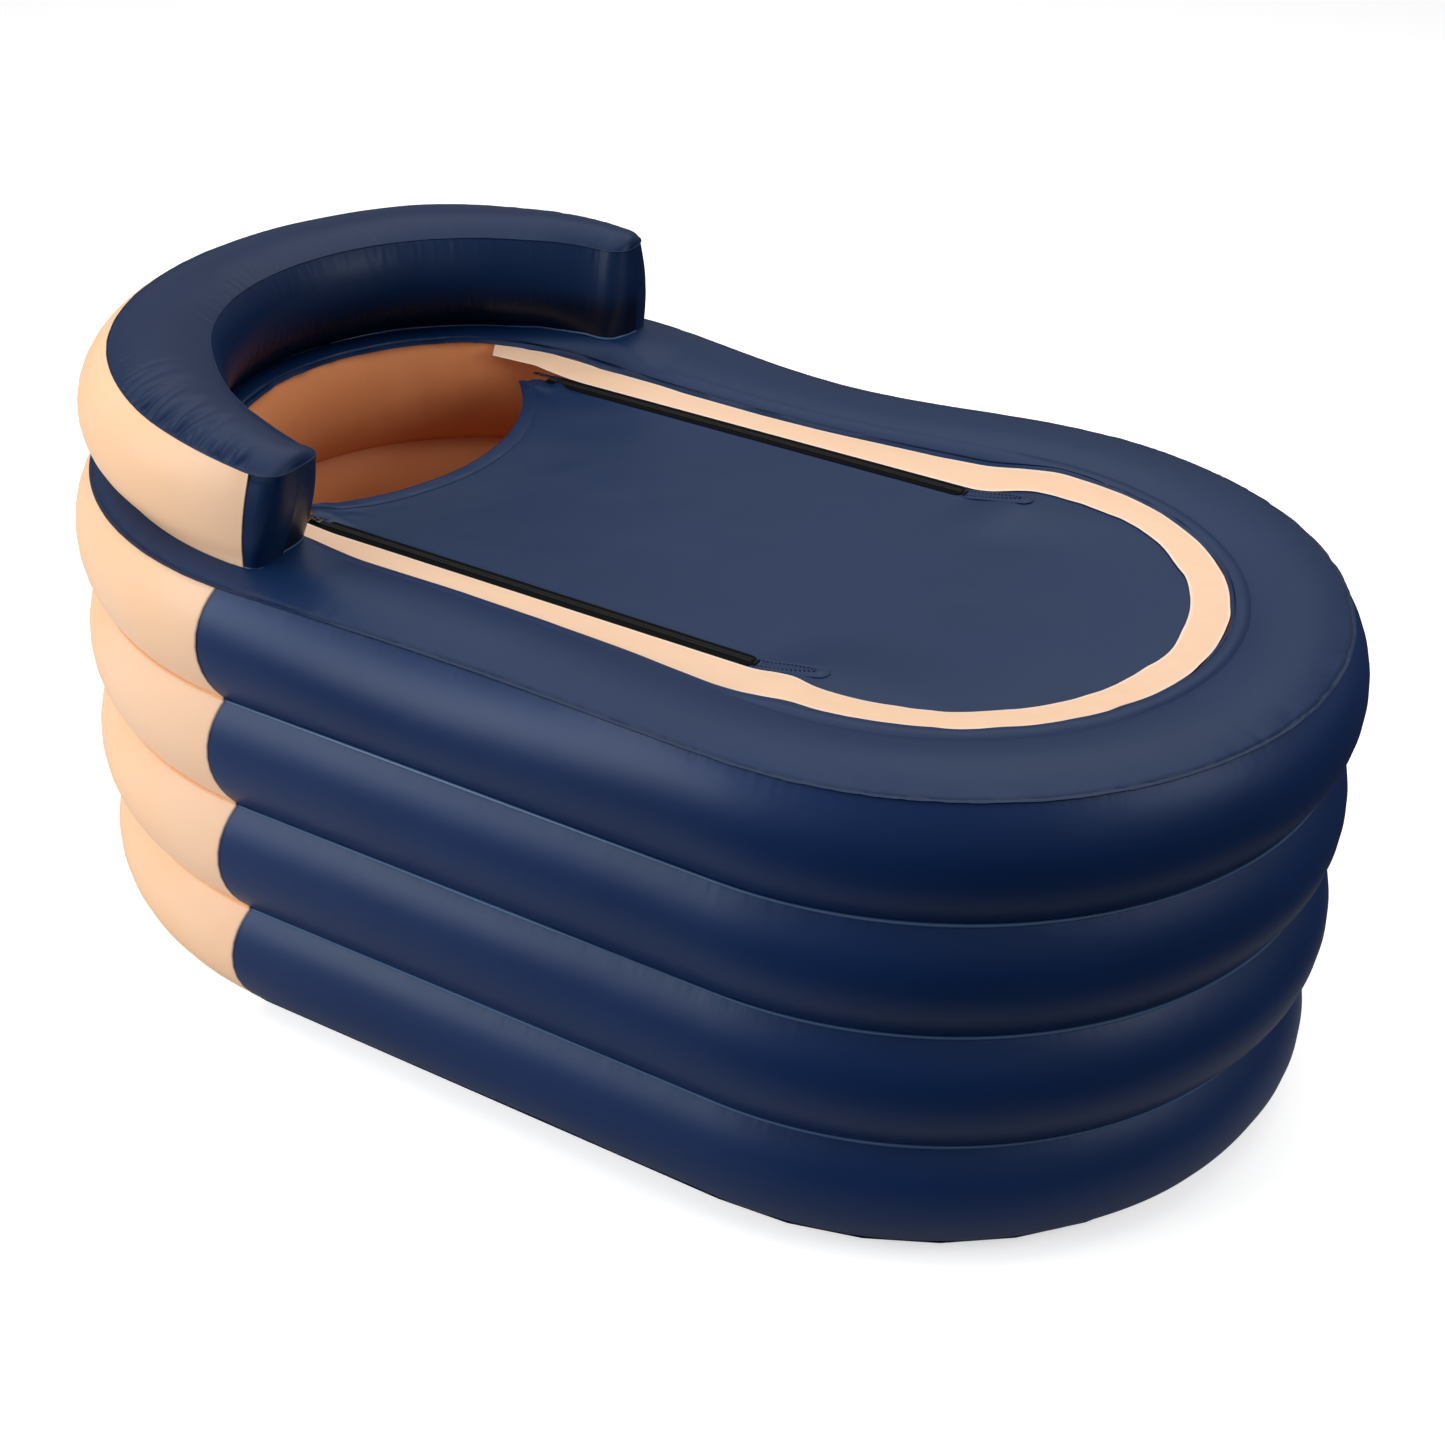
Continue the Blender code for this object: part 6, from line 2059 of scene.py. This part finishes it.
@dataclass
class Valve:
    """A round fitting set in an inflated wall: body, insert and strapped cap."""

    name: str
    point: tuple[float, float, float]
    outward: tuple[float, float, float]
    lip_r: float = 0.0130
    lip: float = 0.0012
    barrel_r: float = 0.0080
    depth: float = 0.0120
    neck_r: float = 0.0070
    neck: float = 0.0040
    bore_r: float = 0.0035
    recess: float = 0.0008
    cap_wall: float = 0.0012
    strap: float = 0.0050

    def frame(self) -> Matrix:
        """The fitting's frame: Z leaves the wall and Y points up."""
        out = Vector(self.outward).normalized()
        up = Vector((0, 0, 1)) if abs(out.z) < 0.5 else Vector((-1, 0, 0))
        across = up.cross(out).normalized()
        turned = Matrix((across, out.cross(across), out)).transposed().to_4x4()
        return Matrix.Translation(self.point) @ turned

    def turned(self, name: str, profile: Sequence[tuple[float, float]], steps: int,
               material: bpy.types.Material, axis: Sequence[int] = ()) -> bpy.types.Object:
        """Spin a closed profile of radii and heights about the fitting's axis.

        Args:
            name: Name of the piece.
            profile: Its radii and heights.
            steps: Steps round the axis.
            material: Its finish.
            axis: The profile points that lie on the axis.

        Returns:
            The piece.
        """
        tube = Tube(name, len(profile), steps, True)
        turn = 2 * np.pi * np.arange(steps)[:, None] / steps
        radius = np.array([point[0] for point in profile])[None, :]
        height = np.broadcast_to(np.array([point[1] for point in profile])[None, :], (steps, len(profile)))
        flat = np.stack([radius * np.cos(turn), radius * np.sin(turn), height], axis=-1)
        matrix = np.array(self.frame())
        tube.lay(flat @ matrix[:3, :3].T + matrix[:3, 3])
        if axis:
            tube.drop(list(axis))
        return tube.finish(material)

    def rounded(self, corners: Sequence[tuple[float, float]], radius: float) -> list[tuple[float, float]]:
        """Round a profile's corners with two points each; points on the axis stay sharp.

        Args:
            corners: The profile's corners.
            radius: How far from a corner its rounding starts.

        Returns:
            The finer profile.
        """
        points: list[tuple[float, float]] = []
        for index, corner in enumerate(corners):
            here = Vector(corner)
            if here.x < TINY:
                points.append(tuple(here))
                continue
            for other in (corners[index - 1], corners[(index + 1) % len(corners)]):
                way = Vector(other) - here
                points.append(tuple(here + way.normalized() * min(radius, way.length * 0.4)))
        return points

    def build(self, finishes: Finishes, body: str, lid: str) -> None:
        """Make the fitting.

        Args:
            finishes: The tub's finishes.
            body: The body that the fitting rides on.
            lid: The body that its cap rides on.
        """
        low, high = GAP, GAP + self.lip
        top = high + self.neck
        ring = [(self.bore_r, -self.depth), (self.barrel_r, -self.depth), (self.barrel_r, low),
                (self.lip_r, low), (self.lip_r, high), (self.neck_r, high), (self.neck_r, top),
                (self.bore_r, top)]
        fitting = self.turned(self.name + "_body", self.rounded(ring, 0.0004), 56, finishes.valve_white)
        plug = [(0.0, -self.depth), (self.bore_r - GAP, -self.depth), (self.bore_r - GAP, top - self.recess),
                (self.bore_r * 0.55, top - self.recess), (self.bore_r * 0.5, top - self.recess - 0.0012),
                (0.0, top - self.recess - 0.0012)]
        core = self.rounded(plug, 0.0003)
        insert = self.turned(self.name + "_insert", core, 48, finishes.valve_clear, (0, len(core) - 1))
        skirt, cap_low, roof = self.neck_r + GAP, high + GAP, top + GAP
        outer = skirt + self.cap_wall
        shell = [(0.0, roof), (skirt, roof), (skirt, cap_low), (outer, cap_low),
                 (outer, roof + self.cap_wall), (self.neck_r * 0.5, roof + self.cap_wall),
                 (0.0, roof + self.cap_wall * 0.8)]
        fine = self.rounded(shell, 0.0004)
        cap = self.turned(self.name + "_cap", fine, 56, finishes.valve_white, (0, len(fine) - 1))
        reach = self.lip_r - outer + self.cap_wall / 2
        strap = Bench.block(self.name + "_strap", (self.strap, reach, self.cap_wall * 0.8),
                            (0.0, self.lip_r - reach / 2, cap_low + self.cap_wall * 0.4))
        Bench.modify(strap, "BEVEL", width=0.0003, segments=2, limit_method="ANGLE")
        strap.matrix_world = self.frame()
        Bench.settle(strap)
        Bench.close(strap)
        Bench.smooth(strap)
        strap.data.materials.append(finishes.valve_white)
        lid_piece = Bench.join(self.name + "_cap", [cap, strap])
        for piece, carrier in ((fitting, body), (insert, body), (lid_piece, lid)):
            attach(piece, carrier)
        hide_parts(self.name + "_body")
        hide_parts(self.name + "_insert")
        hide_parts(self.name + "_cap")
        LOG.info("valve: %s", self.name)


@dataclass
class Base:
    """The sheet that the tub stands on."""

    node: str = "base_sheet"

    def build(self, finishes: Finishes, nodes: dict[str, bpy.types.Object]) -> None:
        """Give the base sheet its finish."""
        for slot in nodes[self.node].material_slots:
            slot.material = finishes.base_navy
        LOG.info("base: sheet finished")


@dataclass
class Studio:
    """Camera, lamps, world and floor."""

    eye: tuple[float, float, float] = (1.397, -2.268, 1.909)
    target: tuple[float, float, float] = (-0.114, 0.011, 0.139)
    lens: float = 63.33
    shift: tuple[float, float] = (0.0769, 0.0518)
    floor_half: float = 30.0
    soft_light: float = 0.27
    white: tuple[float, float, float, float] = (1.0, 1.0, 1.0, 1.0)

    def camera(self) -> None:
        """Set the camera at the photograph's viewing angle."""
        Bench.clear()
        way = Vector(self.target) - Vector(self.eye)
        bpy.ops.object.camera_add(location=self.eye, rotation=way.to_track_quat("-Z", "Y").to_euler())
        camera = Bench.take("camera")
        camera.data.sensor_fit = "HORIZONTAL"
        camera.data.sensor_width = 36.0
        camera.data.lens = self.lens
        camera.data.shift_x, camera.data.shift_y = self.shift
        camera.data.clip_end = 200.0
        bpy.context.scene.camera = camera

    def lamp(self, name: str, place: Sequence[float], aim: Sequence[float], size: Sequence[float],
             power: float) -> None:
        """Add a soft lamp.

        Args:
            name: Its name.
            place: Where it stands.
            aim: The point that it faces.
            size: Its width and height.
            power: Its power in watts.
        """
        Bench.clear()
        turned = (Vector(aim) - Vector(place)).to_track_quat("-Z", "Y").to_euler()
        bpy.ops.object.light_add(type="AREA", location=place, rotation=turned)
        lamp = Bench.take(name)
        lamp.data.shape = "RECTANGLE"
        lamp.data.size, lamp.data.size_y = size
        lamp.data.energy = power

    def world(self) -> None:
        """White behind the tub, softer light on it."""
        desk = Desk("studio", True)
        bpy.context.scene.world = desk.material
        path = desk.node("ShaderNodeLightPath")
        seen, through = (Signal(desk, path.outputs["Is %s Ray" % kind])
                         for kind in ("Camera", "Transmission"))
        white, soft = (desk.signal("ShaderNodeBackground", None, {"Color": self.white, "Strength": strength})
                       for strength in (1.0, self.soft_light))
        desk.end(desk.signal("ShaderNodeMixShader", None, {0: seen.most(through), 1: soft, 2: white}))

    def floor(self) -> None:
        """Lay the pale floor, which the camera sees near white but for the tub's shadow."""
        Bench.clear()
        bpy.ops.mesh.primitive_plane_add(size=2 * self.floor_half, location=(0.0, 0.0, -0.0004))
        floor = Bench.take("studio_floor")
        Bench.settle(floor)
        desk = Desk("studio_floor")
        path = desk.node("ShaderNodeLightPath")
        seen = Signal(desk, path.outputs["Is Camera Ray"])
        place = desk.place()
        along = desk.signal("ShaderNodeSeparateXYZ", None, {"Vector": place}, "X")
        far = desk.signal("ShaderNodeVectorMath", {"operation": "LENGTH"},
                          {0: desk.stretched(place, (0.595, 1.0, 0.0))}, "Value") + along * 0.45
        shade = desk.blend(desk.band(far, 0.80, 1.25), (0.58, 0.58, 0.58), (0.04, 0.04, 0.04))
        plain = desk.signal("ShaderNodeBsdfDiffuse", None, {"Color": shade})
        bright = desk.signal("ShaderNodeBsdfDiffuse", None, {"Color": (0.93, 0.93, 0.93, 1.0)})
        glow = desk.signal("ShaderNodeEmission", None, {"Color": self.white, "Strength": 0.55})
        lit = desk.signal("ShaderNodeAddShader", None, {0: bright, 1: glow})
        desk.end(desk.signal("ShaderNodeMixShader", None, {0: seen, 1: plain, 2: lit}))
        floor.data.materials.append(desk.material)

    def build(self) -> None:
        """Set up the studio."""
        self.camera()
        self.world()
        self.floor()
        self.lamp("left_lamp", (-2.15, -2.75, 1.50), (-0.15, -0.20, 0.40), (2.8, 1.8), 78.0)
        self.lamp("right_lamp", (3.30, 0.15, 2.10), (0.45, 0.0, 0.35), (1.6, 1.6), 27.0)
        self.lamp("top_lamp", (-0.5, 0.6, 3.4), (0.0, 0.0, 0.4), (5.0, 4.5), 92.0)
        scene = bpy.context.scene
        scene.view_settings.view_transform = "Standard"
        LOG.info("studio: camera, lamps, world and floor")


def main() -> None:
    """Load the frame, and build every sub-assembly in order."""
    logging.basicConfig(level=logging.INFO, format="%(name)s: %(message)s")
    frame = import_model()
    Studio().build()
    finishes = Finishes()
    plan = Plan()
    rim, walls = Rim(plan), Walls(plan)
    Base().build(finishes, frame["nodes"])
    walls.build(finishes)
    AirRings(plan, walls, rim).build(finishes)
    rim.build(finishes)
    FloorCushion(plan).build(finishes)
    Backrest(plan, rim).build(finishes)
    cover = Cover(plan, rim)
    cover.build(finishes)
    for label, side in (("left", 1), ("right", -1)):
        Zip(label, side, cover).build(finishes)
    Valve("wall_valve", (-0.68959, 0.29537, 0.38691), (-0.7812, 0.6243, 0.0), 0.0230, 0.0016, 0.0180, 0.0180,
          0.0150, 0.0040, 0.0125, 0.0010, 0.0018, 0.0080).build(finishes, Body.TUB.value, "wall_valve_lid")
    Valve("drain", (-0.62175, 0.35542, 0.0887), (-0.6472, 0.7623, 0.0), 0.0260, 0.0018, 0.0210, 0.0220,
          0.0180, 0.0060, 0.0150, 0.0010, 0.0020, 0.0090).build(finishes, Body.TUB.value, "drain_lid")
    Valve("backrest_valve", (-0.72181, 0.2100, 0.65199), (-0.8863, 0.4632, 0.0)).build(
        finishes, Body.TUB.value, "backrest_valve_lid")
    Valve("floor_valve", (0.1984, 0.04967, 0.0493), (0.0, 0.0, 1.0)).build(
        finishes, Body.TUB.value, "floor_valve_lid")
    LOG.info("sizes written")


if __name__ == "__main__":
    main()
